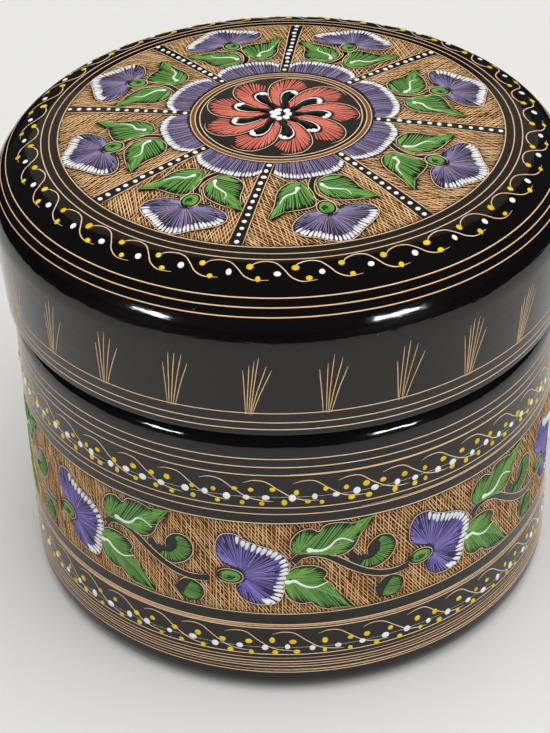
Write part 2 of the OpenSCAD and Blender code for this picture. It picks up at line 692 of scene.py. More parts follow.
def speckle_group() -> bpy.types.NodeTree:
    """Makes the group that gives a hand-worked surface its uneven gloss and dust.

    Returns:
        The group, with a mask of dust and worn spots, and a rough patchiness.
    """
    inputs = {"Scale": ("NodeSocketFloat", 300.0), "Amount": ("NodeSocketFloat", 0.5)}
    outputs = {"Specks": ("NodeSocketFloat",), "Patches": ("NodeSocketFloat",)}
    speck_size, speck_share, patch_size = 0.055, 0.93, 6.0
    tree, sketch, given = new_tree("hand_finish", "ShaderNodeTree", inputs, outputs)
    where = sketch.object_place()
    fine = sketch.add("ShaderNodeTexVoronoi", {"Vector": where, "Scale": given["Scale"]})
    near = sketch.math("LESS_THAN", fine.outputs["Distance"], speck_size)
    rare = sketch.math("GREATER_THAN", sketch.split(fine.outputs["Color"])[0], speck_share)
    specks = sketch.times(sketch.times(near, rare), given["Amount"])
    scale = sketch.math("DIVIDE", given["Scale"], patch_size)
    coarse = sketch.add("ShaderNodeTexNoise", {"Vector": where, "Scale": scale, "Detail": 4.0})
    sketch.add("NodeGroupOutput", {"Specks": specks, "Patches": coarse.outputs["Fac"]})
    return tree


class Coat:
    """One material in the making: a Principled shader and the sketch of its nodes."""

    def __init__(self, name: str) -> None:
        """Makes the material with its shader and its output.

        Args:
            name: Name of the material.
        """
        self.material = bpy.data.materials.new(name)
        self.material.use_nodes = True
        self.material.node_tree.nodes.clear()
        self.sketch = Sketch(self.material.node_tree)
        self.shader = self.sketch.add("ShaderNodeBsdfPrincipled")
        self.output = self.sketch.add("ShaderNodeOutputMaterial", {"Surface": self.shader.outputs[0]})

    def feed(self, **values: object) -> None:
        """Sets or links inputs of the shader, whose names have `_` for a space."""
        for name, value in values.items():
            self.sketch.feed(value, self.shader.inputs[name.replace("_", " ")])

    def patchy(
        self, specks: bpy.types.NodeTree, scale: float, low: float, high: float, amount: float = 0.5
    ) -> bpy.types.NodeOutputs:
        """Makes the roughness patchy.

        Args:
            specks: The group of specks and patches.
            scale: Scale of its pattern.
            low: Roughness where the patches are smoothest.
            high: Roughness where they are dullest.
            amount: Strength of its specks.

        Returns:
            The outputs of the group.
        """
        group = self.sketch.add("ShaderNodeGroup", {"Scale": scale, "Amount": amount}, node_tree=specks)
        spread = {"Value": group.outputs["Patches"], "To Min": low, "To Max": high}
        self.feed(Roughness=self.sketch.first("ShaderNodeMapRange", spread))
        return group.outputs

    def bump(self, height: Socket, strength: float, distance: float, under: Socket | None = None) -> Socket:
        """Adds a Bump node over another one and feeds it to the shader's normal.

        Args:
            height: The heights.
            strength: Strength of the relief.
            distance: Depth of the relief, in metres.
            under: The relief that it lies on, if any.

        Returns:
            The raised normal.
        """
        inputs = {"Height": height, "Strength": strength, "Distance": distance}
        if under is not None:
            inputs["Normal"] = under
        raised = self.sketch.first("ShaderNodeBump", inputs)
        self.feed(Normal=raised)
        return raised


@dataclass(frozen=True)
class Lacquer:
    """Black lacquer, brushed and polished on turned wood."""

    name: str
    deep: Colour = (8, 7, 7)
    thin: Colour = (16, 13, 12)
    dust: Colour = (120, 112, 104)
    speck_scale: float = 420.0
    speck_amount: float = 0.55
    roughness: tuple[float, float] = (0.05, 0.13)
    ior: float = 1.46
    peel_scale: float = 130.0
    peel_strength: float = 0.12
    peel_depth: float = 0.0005
    brush_length: float = 0.012
    brush_scale: float = 900.0
    brush_strength: float = 0.35
    brush_depth: float = 0.0001

    def make(self, specks: bpy.types.NodeTree) -> bpy.types.Material:
        """Makes the material, with dust, a faint orange-peel skin and the marks of the brush.

        Args:
            specks: The group of specks and patches.

        Returns:
            The material.
        """
        coat = Coat(self.name)
        sketch = coat.sketch
        finish = coat.patchy(specks, self.speck_scale, *self.roughness, self.speck_amount)
        body = sketch.mix(finish["Patches"], linear(*self.deep), linear(*self.thin))
        coat.feed(Base_Color=sketch.mix(finish["Specks"], body, linear(*self.dust)), IOR=self.ior)
        where = sketch.object_place()
        skin = {"Vector": where, "Scale": self.peel_scale, "Detail": 1.0}
        peel = sketch.add("ShaderNodeTexNoise", skin).outputs["Fac"]
        peeled = coat.bump(peel, self.peel_strength, self.peel_depth)
        x, y, z = sketch.split(where)[:3]
        around = sketch.times(sketch.math("ARCTAN2", y, x), self.brush_length)
        swept = sketch.vector(around, sketch.from_axis(x, y), z)
        strokes = {"Vector": swept, "Scale": self.brush_scale, "Detail": 2.0}
        marks = sketch.add("ShaderNodeTexNoise", strokes).outputs["Fac"]
        coat.bump(marks, self.brush_strength, self.brush_depth, peeled)
        return coat.material


@dataclass(frozen=True)
class Paint:
    """One colour of paint or of bare scribed wood, uneven from stroke to stroke."""

    name: str
    light: Colour
    dark: Colour
    roughness: float = 0.5
    gloss: float = 0.3
    grain: float = 900.0
    tone_share: float = 0.55
    bump_strength: float = 0.25
    bump_depth: float = 0.00008

    def make(self, specks: bpy.types.NodeTree) -> bpy.types.Material:
        """Makes the material, which takes each stroke's tone from `shade`.

        Args:
            specks: The group of specks and patches.

        Returns:
            The material.
        """
        coat = Coat(self.name)
        sketch = coat.sketch
        tone = sketch.add("ShaderNodeAttribute", attribute_name="shade").outputs["Fac"]
        mottling = {"Vector": sketch.object_place(), "Scale": self.grain, "Detail": 3.0}
        mottle = sketch.add("ShaderNodeTexNoise", mottling).outputs["Fac"]
        blend = sketch.plus(
            sketch.times(tone, self.tone_share), sketch.times(mottle, 1.0 - self.tone_share)
        )
        coat.feed(Base_Color=sketch.mix(blend, linear(*self.dark), linear(*self.light)))
        coat.patchy(specks, self.grain, self.roughness - 0.1, self.roughness + 0.15)
        coat.feed(Specular_IOR_Level=self.gloss)
        coat.bump(mottle, self.bump_strength, self.bump_depth)
        return coat.material


DRY = 0.05
PAINTS = {
    "scribed": Paint("scribed_wood", (254, 224, 192), (232, 186, 146), 0.6, DRY),
    "hatched": Paint("hatched_wood", (252, 216, 168), (222, 172, 116), 0.65, DRY),
    "ground": Paint("scraped_ground", (112, 66, 22), (72, 40, 12), 0.6, DRY),
    "stained": Paint("stained_wood", (160, 114, 66), (104, 70, 38), 0.6, DRY),
    "violet_wash": Paint("violet_wash", (56, 50, 72), (32, 29, 42), 0.45),
    "deep_violet_wash": Paint("deep_violet_wash", (54, 46, 92), (32, 28, 52), 0.45),
    "deep_violet": Paint("deep_violet_paint", (154, 139, 220), (98, 88, 168), 0.45),
    "violet": Paint("violet_paint", (170, 158, 196), (114, 103, 150), 0.45),
    "scratch": Paint("scratched_paint", (226, 178, 158), (190, 140, 124), 0.6),
    "lime": Paint("lime_paint", (128, 172, 78), (84, 134, 52)),
    "red_wash": Paint("red_wash", (124, 50, 44), (78, 34, 30)),
    "red": Paint("red_paint", (238, 142, 122), (206, 98, 85)),
    "green_wash": Paint("green_wash", (42, 84, 38), (22, 50, 24)),
    "green": Paint("green_paint", (131, 182, 91), (78, 133, 56)),
    "white": Paint("white_paint", (252, 252, 250), (228, 228, 226), 0.4),
    "pale": Paint("pale_green_paint", (246, 252, 242), (222, 238, 218), 0.4),
    "yellow": Paint("yellow_paint", (246, 214, 48), (214, 172, 22), 0.35),
    "ink": Paint("black_paint", (26, 26, 28), (12, 12, 14), 0.3),
}


class Finishes:
    """Every finish on the box, made once."""

    def __init__(self) -> None:
        """Makes the materials."""
        specks = speckle_group()
        self.lacquer = Lacquer("black_lacquer").make(specks)
        self.paints = {name: paint.make(specks) for name, paint in PAINTS.items()}


# The turned wood


def in_plane(profile: Path) -> np.ndarray:
    """Returns a profile's points, in metres, with radii in x and heights in z."""
    return np.column_stack([profile[:, 0], np.zeros(len(profile)), profile[:, 1]]) * MM


@dataclass
class Turning:
    """The profile of one turned piece and the way along its outside, in millimetres."""

    outside: Path
    radius: float
    closed_profile: Path = field(init=False)

    def __post_init__(self) -> None:
        """Works out the length of the way to each point of the outside."""
        self.way = way_along(self.outside)

    def way_at_radius(self, radius: np.ndarray) -> np.ndarray:
        """Returns the way along the top, from the axis out to a radius."""
        rising = np.maximum.accumulate(self.outside[:, 0])
        return np.interp(radius, rising, self.way)

    def way_at_height(self, height: np.ndarray) -> np.ndarray:
        """Returns the way along the side, down to a height."""
        return np.interp(-np.asarray(height), -self.outside[:, 1], self.way)

    def side_view(self, path: Path) -> Path:
        """Turns points of the side, in mm round and heights, into turns and ways."""
        return np.column_stack([path[:, 0] / self.radius, self.way_at_height(path[:, 1])])

    def form(self, name: str) -> bpy.types.Object:
        """Makes the outside as a line that the drawings are laid on.

        Args:
            name: Name of the object.

        Returns:
            The object.
        """
        helper = line_mesh(name, [in_plane(self.outside)], {})
        bpy.context.scene.collection.objects.link(helper)
        helper.hide_render = True
        return helper


def arc(x: float, z: float, radius: float, start: float, end: float, count: int) -> Path:
    """Returns points of an arc round x and z, between two angles in degrees."""
    angle = np.radians(np.linspace(start, end, count))
    return np.column_stack([x + radius * np.cos(angle), z + radius * np.sin(angle)])


def grooved(outside: Path, ways: list[float], width: float = 0.3, depth: float = 0.12) -> Path:
    """Cuts V grooves into a profile.

    Args:
        outside: The profile.
        ways: How far along it each groove lies.
        width: Width of a groove.
        depth: Depth of a groove.

    Returns:
        The profile with a dip of three points at each groove.
    """
    way = way_along(outside)

    def at(s: float) -> np.ndarray:
        """Returns the point that lies a way along the profile."""
        return np.array([np.interp(s, way, outside[:, 0]), np.interp(s, way, outside[:, 1])])

    keep = [(s, point) for s, point in zip(way, outside) if all(abs(s - cut) > width for cut in ways)]
    for cut in ways:
        before, middle, after = at(cut - width / 2), at(cut), at(cut + width / 2)
        along = (after - before) / np.linalg.norm(after - before)
        outward = np.array([-along[1], along[0]])
        keep += [(cut - width / 2, before), (cut, middle - depth * outward), (cut + width / 2, after)]
    return np.array([point for _, point in sorted(keep, key=lambda item: item[0])])


@dataclass
class Anchors:
    """Where a drawing is repeated round the axis."""

    degrees: tuple[float, ...]

    @staticmethod
    def even(count: int, first: float = 0.0) -> "Anchors":
        """Returns anchors at even steps, from the first one."""
        return Anchors(tuple(first + 360.0 * index / count for index in range(count)))

    def helper(self, name: str) -> bpy.types.Object:
        """Makes the anchors as points for the trees.

        Args:
            name: Name of the object.

        Returns:
            The object.
        """
        mesh = bpy.data.meshes.new(name)
        mesh.from_pydata([(math.radians(angle), 0.0, 0.0) for angle in self.degrees], [], [])
        helper = bpy.data.objects.new(name, mesh)
        bpy.context.scene.collection.objects.link(helper)
        return helper


ONCE = Anchors((0.0,))


@dataclass(frozen=True)
class Layer:
    """How one drawing is laid on the wood: its height, its relief and its unsteadiness."""

    lift: float = 0.0
    relief: float = 0.3
    sides: int = 6
    wander: float = 0.0
    grain: float = 130.0
    seed: int = 1


FACETS = 384
HUB = 5.0
SHARP = 35.0
DROPS = "_drops"
STROKE_RELIEF = 0.25
DROP_RELIEF = 0.35
GROUND = Layer(lift=0.004, relief=0.02, sides=4)
GROOVE = Layer(lift=-0.03, relief=0.4, sides=5)
CURVES = Layer(sides=5, wander=0.2, grain=120.0)


def same(path: Path) -> Path:
    """Leaves a drawing that is already made in turns and ways as it is."""
    return path


class Workshop:
    """Lays drawings on a turned piece and hands each result to its body."""

    def __init__(self, turning: Turning, body: Body, slot: Slot, finishes: Finishes, trees: Trees) -> None:
        """Makes the line of the outside.

        Args:
            turning: The turned piece.
            body: The body that its pieces ride on.
            slot: The record's slot of their finish; it is kept but not used.
            finishes: The finishes.
            trees: The Geometry Nodes trees.
        """
        self.turning = turning
        self.body = body
        self.slot = slot
        self.finishes = finishes
        self.trees = trees
        self.form = turning.form(f"form_{body.value}")

    def hand_over(self, piece: bpy.types.Object) -> bpy.types.Object:
        """Lets a finished piece ride on the body.

        Args:
            piece: The piece.

        Returns:
            The same piece.
        """
        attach(piece, self.body.value)
        log.info("%s: %d faces", piece.name, len(piece.data.polygons))
        return piece

    def lay(
        self,
        name: str,
        drawing: Drawing,
        paint: str,
        to_lathe: Callable[[Path], Path],
        layer: Layer,
        anchors: Anchors = ONCE,
        drops: bool = False,
    ) -> bpy.types.Object:
        """Lays one drawing on the wood.

        Args:
            name: Name of the piece.
            drawing: What is drawn.
            paint: Name of its finish.
            to_lathe: Turns the sheet's points into turns and ways, in radians and millimetres.
            layer: How it is laid.
            anchors: Where it is repeated.
            drops: True for drops of paint, and False for strokes.

        Returns:
            The piece.
        """
        paths = []
        for path in drawing.paths:
            lathe = to_lathe(path)
            lift = np.full(len(path), layer.lift * MM)
            paths.append(np.column_stack([np.unwrap(lathe[:, 0]), lathe[:, 1] * MM, lift]))
        spans = {
            "breadth": [breadth * MM for breadth in drawing.breadths],
            "shade": [np.full(len(path), shade) for path, shade in zip(drawing.paths, drawing.shades)],
        }
        start = line_mesh(name + "_lines", paths, spans)
        points = anchors.helper(name + "_anchors")
        values = {
            "Anchors": points,
            "Form": self.form,
            "Radius": self.turning.radius * MM,
            "Wander": layer.wander * MM,
            "Grain": layer.grain,
            "Seed": layer.seed,
            "Relief": layer.relief,
            "Sides": layer.sides,
            "Material": self.finishes.paints[paint],
        }
        piece = grow(name, start, self.trees.beads if drops else self.trees.strokes, values)
        bpy.data.objects.remove(points)
        return self.hand_over(piece)

    def lay_motif(
        self,
        name: str,
        motif: "Motif",
        to_lathe: Callable[[Path], Path],
        hand: Layer,
        anchors: Anchors = ONCE,
    ) -> None:
        """Lays every sheet of a motif, each paint over the one before it.

        Args:
            name: First part of the pieces' names.
            motif: What is drawn.
            to_lathe: Turns the sheet's points into turns and ways.
            hand: How unsteady the hand is.
            anchors: Where the motif is repeated.
        """
        for sheet, (lift, paint) in PAINT_ORDER.items():
            if sheet in motif.sheets:
                drops = sheet.endswith(DROPS)
                layer = replace(hand, lift=lift, relief=DROP_RELIEF if drops else STROKE_RELIEF)
                self.lay(f"{name}_{sheet}", motif.sheets[sheet], paint, to_lathe, layer, anchors, drops)

    def turn(self, name: str) -> bpy.types.Object:
        """Turns the wood itself from its whole profile.

        Args:
            name: Name of the piece.

        Returns:
            The piece.
        """
        start = line_mesh(name + "_profile", [in_plane(self.turning.closed_profile)], {})
        values = {"Facets": FACETS, "Hub": HUB * MM, "Material": self.finishes.lacquer}
        piece = grow(name, start, self.trees.turning, values)
        piece.data.set_sharp_from_angle(angle=math.radians(SHARP))
        return self.hand_over(piece)

    def close(self) -> None:
        """Puts the line of the outside away."""
        bpy.data.objects.remove(self.form)


PAINT_ORDER = {
    "violet_wash": (0.02, "violet_wash"),
    "deep_violet_wash": (0.02, "deep_violet_wash"),
    "red_wash": (0.02, "red_wash"),
    "green_wash": (0.03, "green_wash"),
    "violet": (0.08, "violet"),
    "deep_violet": (0.08, "deep_violet"),
    "red": (0.09, "red"),
    "green": (0.10, "green"),
    "lime": (0.12, "lime"),
    "scribed": (0.08, "scribed"),
    "scratch": (0.14, "scratch"),
    "ink": (0.12, "ink"),
    "white": (0.12, "white"),
    "pale": (0.16, "pale"),
    "white_drops": (0.1, "white"),
    "pale_drops": (0.1, "pale"),
}


# Motifs, each drawn about its own zero


@dataclass
class Motif:
    """One painted figure: its sheets by paint, and the space that the hatching leaves for it."""

    sheets: dict[str, Drawing] = field(default_factory=dict)
    clear: list[Path] = field(default_factory=list)

    def sheet(self, paint: str) -> Drawing:
        """Returns the sheet of one paint, and starts it if it is new."""
        return self.sheets.setdefault(paint, Drawing(seed=len(self.sheets) + 3))

    def add(self, other: "Motif", mapping: Callable[[Path], Path]) -> None:
        """Adds another motif, each point taken through the mapping.

        Args:
            other: The motif to add.
            mapping: Carries points of the other motif over to this one.
        """
        for paint, drawing in other.sheets.items():
            self.sheet(paint).add(drawing, mapping)
        self.clear += [mapping(outline) for outline in other.clear]

    def comb(
        self,
        inner: Knots,
        outer: Knots,
        paints: tuple[str, str],
        count: int,
        lean: float = 0.0,
        cover: float = 0.27,
        swell: float = 0.0,
        teeth: float = 0.0,
    ) -> None:
        """Fills the space between two lines with a dark wash and paler strokes over it.

        Args:
            inner: Points of the line that the strokes start from.
            outer: Points of the line that they end on.
            paints: The wash and the paint of the strokes.
            count: Number of strokes of each.
            lean: How far the strokes lean forward, as a share of the lines' length.
            cover: Half width of a stroke's end, as a share of the space that it has.
            swell: How much the strokes' width comes and goes along the lines.
            teeth: Number of teeth along the outer line.
        """
        start, end = smooth(inner, 0.3), smooth(outer, 0.3)
        gap = np.linalg.norm(np.diff(end, axis=0), axis=1).sum() / count
        root_gap = np.linalg.norm(np.diff(start, axis=0), axis=1).sum() / count
        wash, paint = (self.sheet(name) for name in paints)
        wide = (0.6 * root_gap + 0.05, 0.62 * gap)
        fan(wash, start, end, count, wide, (0.0, 0.95), lean=lean, teeth=teeth)
        fine = (0.03 + 0.18 * root_gap, cover * gap)
        fan(paint, start, end, count, fine, (0.05, 1.06), lean=lean, swell=swell, teeth=teeth)

    def rim(self, outline: Knots, grow: float, shares: tuple[float, float] = (0.0, 1.0)) -> None:
        """Scribes a line round a closed outline and keeps the hatching out of it.

        Args:
            outline: Points of the outline.
            grow: Distance of the line from the outline.
            shares: The shares of the way round between which the line is scribed.
        """
        border = grown(smooth(outline, 0.5, closed=True), grow)
        first, last = (int(share * (len(border) - 1)) for share in shares)
        self.sheet("scribed").stroke(border[first:last + 1], BORDER_HALF)
        self.clear.append(grown(border, 0.1))

    def border(self, knots: Knots) -> Path:
        """Scribes an open border line and returns it.

        Args:
            knots: Points that the line passes through.

        Returns:
            The line's points.
        """
        line = smooth(knots, 0.4)
        self.sheet("scribed").stroke(line, BORDER_HALF)
        return line

    def tips(
        self, edge: Knots, towards: tuple[float, float], count: int, length: float, breadth: float
    ) -> None:
        """Sets a row of short white strokes along an edge.

        Args:
            edge: Points of the edge.
            towards: The point that the strokes lead to.
            count: Number of strokes.
            length: Length of a stroke.
            breadth: Half its width.
        """
        line = smooth(edge, 0.3)
        white = self.sheet("white")
        for index in range(count):
            spot = on_line(line, (index + 0.5 + white.spread(0.12)) / count)
            inward = np.array(towards) - spot
            inward /= np.linalg.norm(inward)
            start = spot - inward * (0.15 + white.spread(0.08))
            path = straight(start, spot + inward * (length + white.spread(0.2)), 6)
            shape = np.array([0.65, 1.0, 1.0, 0.85, 0.6, 0.25])
            white.stroke(path, breadth * shape * (1.0 + white.spread(0.12)))

    def vein(self, knots: Knots, thick: float) -> None:
        """Paints a wavy pale vein that starts at a blob and thins to nothing.

        Args:
            knots: Points that the line passes through.
            thick: Half the width where it is thickest.
        """
        line = smooth(knots, 0.3)
        self.sheet("pale").stroke(line, thick * np.linspace(1.0, 0.25, len(line)))
        self.sheet("pale_drops").drop(tuple(line[0]), 1.5 * thick)

    def tail(self, margin: Knots, thick: float) -> None:
        """Paints the bright strokes that run out past a leaf's tip.

        Args:
            margin: Points of the leaf's margin, up to its tip.
            thick: Twice the half width of a stroke.
        """
        line = smooth(margin, 0.3)
        paint = self.sheet("lime")
        for share in (0.78, 0.84, 0.9):
            start, tip = on_line(line, share), line[-1]
            end = tip + (tip - start) * (0.15 + paint.spread(0.15))
            path = straight(start, end, 6)
            paint.stroke(path, thick * np.array([0.3, 0.45, 0.5, 0.45, 0.35, 0.1]))

    def bud(self, middle: tuple[float, float], width: float, length: float, degrees: float = 0.0) -> None:
        """Paints a round green bud inside a scribed ring.

        Args:
            middle: Its middle.
            width: Its width.
            length: Its length.
            degrees: How far the length is turned from +Y.
        """
        def ring(scale: float, start: float = 0.0, end: float = 360.0) -> Path:
            """Returns part of an oval inside the bud, between two angles in degrees.

            Args:
                scale: Its size, as a share of the bud's.
                start, end: The angles.

            Returns:
                Its points.
            """
            turn = np.radians(np.linspace(start, end, 26))
            oval = np.column_stack([width / 2 * scale * np.sin(turn), length / 2 * scale * np.cos(turn)])
            return placed(oval, middle, degrees)

        for scale in (0.82, 0.5, 0.2):
            self.sheet("green_wash").stroke(ring(scale), 0.33, 1.0, 1.0)
        for scale, start, end in ((0.86, 20.0, 350.0), (0.62, -40.0, 250.0), (0.36, -60.0, 190.0)):
            self.sheet("green").stroke(ring(scale, start, end), 0.21)
        self.rim([tuple(point) for point in ring(1.0, 0.0, 345.0)[::3]], 0.42, (0.06, 0.96))

    def stem(self, knots: Knots, half: float, lines: tuple[float, ...] = (1.0, -1.0)) -> None:
        """Draws a stem of bare lacquer with scribed lines along it.

        Args:
            knots: Points along its middle.
            half: Half its width.
            lines: Where the lines run, as shares of the half width from the middle.
        """
        middle = smooth(knots, 0.5)
        side = sideways(middle)
        for share in lines:
            self.sheet("scribed").stroke(middle + share * half * side, 0.08)
        band = np.vstack([middle + (half + 0.05) * side, (middle - (half + 0.05) * side)[::-1]])
        self.clear.append(band)


@dataclass
class Flower:
    """A flower seen from the side: its outline, the part of it with white tips, and its throat."""

    outline: Knots
    tipped: slice
    throat: Knots
    heart: tuple[float, float]
    tips: int
    tip_length: float
    tip_breadth: float
    scratches: tuple[Knots, ...]
    paints: tuple[str, str] = VIOLET
    strokes: int = 52
    cover: float = 0.18

    def draw(self, motif: Motif) -> None:
        """Adds the flower to a motif.

        Args:
            motif: The motif to draw on.
        """
        motif.comb(self.throat, self.outline, self.paints, self.strokes, cover=self.cover, swell=0.3)
        motif.tips(self.outline[self.tipped], self.heart, self.tips, self.tip_length, self.tip_breadth)
        for scratch in self.scratches:
            motif.sheet("scratch").stroke(smooth(scratch, 0.4), 0.06)
        closed = [*self.outline, *self.throat[::-1]]
        motif.rim(closed, 0.3, (0.02, 0.82))


@dataclass
class Leaf:
    """A leaf: its vein and the two margins that run from its stalk to its tip."""

    vein: Knots
    left: Knots
    right: Knots
    strokes: int = 24
    lean: float = 0.4
    teeth: float = 5.5
    thick: float = 0.27
    drawn_rims: tuple[tuple[float, float], ...] = ((0.0, 0.45), (0.58, 1.0))

    def draw(self, motif: Motif) -> None:
        """Adds the leaf to a motif.

        Args:
            motif: The motif to draw on.
        """
        tip = self.left[-1]
        rib = [self.left[0], *self.vein[1:], tip]
        for margin in (self.left, self.right):
            motif.comb(rib, margin, GREEN, self.strokes, lean=self.lean, cover=0.23, teeth=self.teeth)
            motif.tail(margin, self.thick)
        outline = [*self.left, *self.right[-2:0:-1]]
        for shares in self.drawn_rims:
            motif.rim(outline, 0.3, shares)
        motif.vein(self.vein, self.thick)


@dataclass
class SmallLeaf:
    """A small leaf with a border that is scribed part of the way round."""

    inner: Knots
    outer: Knots
    strokes: int
    border: Knots
    back: Knots

    def draw(self, motif: Motif) -> None:
        """Adds the leaf to a motif; its back closes the space that stays free of hatching."""
        motif.comb(self.inner, self.outer, GREEN, self.strokes)
        motif.clear.append(np.vstack([motif.border(self.border), self.back]))


LID_FLOWER = Flower(
    outline=[
        (-1.4, 30.4), (-3.0, 30.4), (-4.8, 31.4), (-6.1, 32.8), (-6.3, 34.2), (-5.2, 35.5), (-3.4, 36.4),
        (-1.9, 37.3), (-0.3, 38.1), (1.4, 38.2), (2.8, 37.5), (4.2, 36.1), (6.0, 34.6), (7.4, 33.2),
        (7.9, 31.8), (7.2, 30.6), (5.0, 29.9), (2.9, 29.9), (1.7, 30.3),
    ],
    tipped=slice(4, 15),
    throat=[(-1.1, 30.6), (-0.7, 31.3), (0.2, 31.7), (1.1, 31.4), (1.5, 30.7)],
    heart=(0.3, 30.6),
    tips=25,
    tip_length=1.3,
    tip_breadth=0.3,
    scratches=(
        [(-0.5, 32.3), (-1.4, 34.0), (-1.7, 36.2)],
        [(0.9, 32.0), (2.4, 33.2), (3.7, 34.9)],
        [(-1.4, 33.6), (-2.6, 32.5)],
    ),
)

BODY_FLOWER = Flower(
    outline=[
        (0.2, 30.2), (-1.2, 31.1), (-1.6, 32.8), (-1.3, 35.0), (-0.2, 36.4), (1.7, 36.5), (3.4, 35.3),
        (5.6, 34.4), (7.8, 33.6), (9.6, 32.3), (10.4, 30.4), (10.2, 28.0), (9.5, 26.0), (9.3, 24.0),
        (8.3, 22.1), (6.4, 21.6), (4.2, 21.8), (2.4, 23.0), (1.7, 24.8), (2.2, 25.8),
    ],
    tipped=slice(5, 16),
    throat=[(1.4, 29.6), (2.4, 28.8), (2.9, 27.8), (2.9, 26.8), (2.5, 26.0)],
    heart=(1.6, 26.0),
    tips=21,
    tip_length=1.45,
    tip_breadth=0.42,
    scratches=(
        [(3.6, 29.4), (4.2, 30.9), (5.0, 32.6)],
        [(4.6, 28.6), (6.6, 28.9), (8.4, 30.2)],
        [(4.2, 27.2), (6.0, 27.4), (7.8, 27.0)],
    ),
    paints=DEEP_VIOLET,
    strokes=58,
    cover=0.25,
)

LID_LEAVES = (
    Leaf(
        vein=[(-3.1, 23.4), (-3.9, 24.6), (-5.3, 24.9), (-6.3, 25.8), (-7.0, 26.9)],
        left=[
            (-2.2, 22.3), (-4.0, 21.9), (-5.6, 22.8), (-6.7, 24.4), (-7.4, 26.4), (-8.3, 28.2), (-9.4, 30.2),
        ],
        right=[
            (-2.2, 22.3), (-1.5, 24.0), (-1.3, 26.4), (-1.7, 28.4), (-3.6, 28.9), (-6.4, 28.9), (-9.4, 30.2),
        ],
    ),
    Leaf(
        vein=[(1.0, 23.4), (1.8, 24.6), (3.2, 25.1), (4.5, 25.7), (5.0, 27.0)],
        left=[(0.8, 22.4), (0.4, 24.0), (0.6, 25.8), (2.2, 27.6), (4.6, 28.2), (6.8, 28.3), (9.0, 28.3)],
        right=[(0.8, 22.4), (2.6, 21.3), (4.8, 21.7), (5.9, 23.0), (6.6, 25.2), (7.6, 26.8), (9.0, 28.3)],
    ),
)

BODY_LEAVES = (
    Leaf(
        vein=[(14.3, 33.6), (16.2, 33.4), (17.6, 34.1), (18.8, 35.4), (20.2, 35.5), (21.8, 34.5)],
        left=[
            (12.4, 33.1), (11.4, 34.2), (11.5, 35.9), (12.6, 37.5), (14.3, 38.1), (15.9, 37.3), (17.2, 38.7),
            (19.6, 38.8), (22.2, 38.3), (25.0, 39.2),
        ],
        right=[
            (12.4, 33.1), (14.6, 33.3), (16.8, 33.0), (18.6, 32.1), (20.4, 32.4), (21.9, 33.8), (22.8, 36.0),
            (25.0, 39.2),
        ],
        strokes=34,
        lean=0.48,
        thick=0.36,
    ),
    Leaf(
        vein=[(10.4, 26.6), (11.6, 26.8), (12.8, 25.9), (14.0, 25.3), (15.4, 25.3), (17.2, 26.2)],
        left=[
            (10.2, 27.6), (11.2, 29.2), (13.2, 29.9), (15.4, 29.6), (16.9, 28.3), (16.4, 26.8), (17.9, 25.0),
            (18.5, 22.8), (21.2, 19.8),
        ],
        right=[
            (10.2, 27.6), (10.0, 25.2), (10.8, 23.0), (12.6, 21.9), (14.4, 22.1), (15.4, 21.1), (17.4, 20.2),
            (21.2, 19.8),
        ],
        strokes=34,
        lean=0.48,
        thick=0.36,
    ),
)


BODY_SMALL_LEAVES = (
    SmallLeaf(
        inner=[(23.6, 29.9), (25.2, 30.3), (26.2, 31.4), (26.5, 32.8), (26.2, 33.8)],
        outer=[
            (22.8, 28.9), (24.8, 28.3), (26.8, 28.8), (28.3, 30.2), (28.9, 32.0), (28.2, 33.7), (26.8, 34.4),
        ],
        strokes=26,
        border=[
            (24.3, 31.0), (24.3, 32.6), (25.2, 34.0), (26.7, 34.8), (28.4, 34.4), (29.4, 32.8),
            (29.2, 30.8), (27.9, 29.0), (26.0, 27.9), (24.0, 27.8),
        ],
        back=[(22.2, 29.0), (20.6, 31.0), (21.6, 32.2), (22.4, 30.9)],
    ),
    SmallLeaf(
        inner=[(26.8, 21.0), (27.4, 22.6), (28.4, 24.0)],
        outer=[(28.0, 20.4), (29.8, 20.9), (30.5, 22.4), (29.9, 23.9), (28.9, 24.5)],
        strokes=15,
        border=[(26.2, 23.8), (27.4, 25.0), (29.2, 25.0), (30.7, 23.9), (31.0, 22.2), (30.2, 20.6)],
        back=[(28.0, 20.0), (26.4, 20.6), (25.6, 22.4)],
    ),
)


@dataclass(frozen=True)
class Lines:
    """One set of scribed lines: their direction, their spacing and half their width."""

    degrees: float
    pitch: float
    half: float


GROUND_PITCH = 0.8
GROUND_HALF = 0.52
HATCH_STEP = 0.4
HATCH_DRIFT = 0.22
WAVES = ((0.12, 3.7, 1.3), (0.10, 8.3, -0.7))


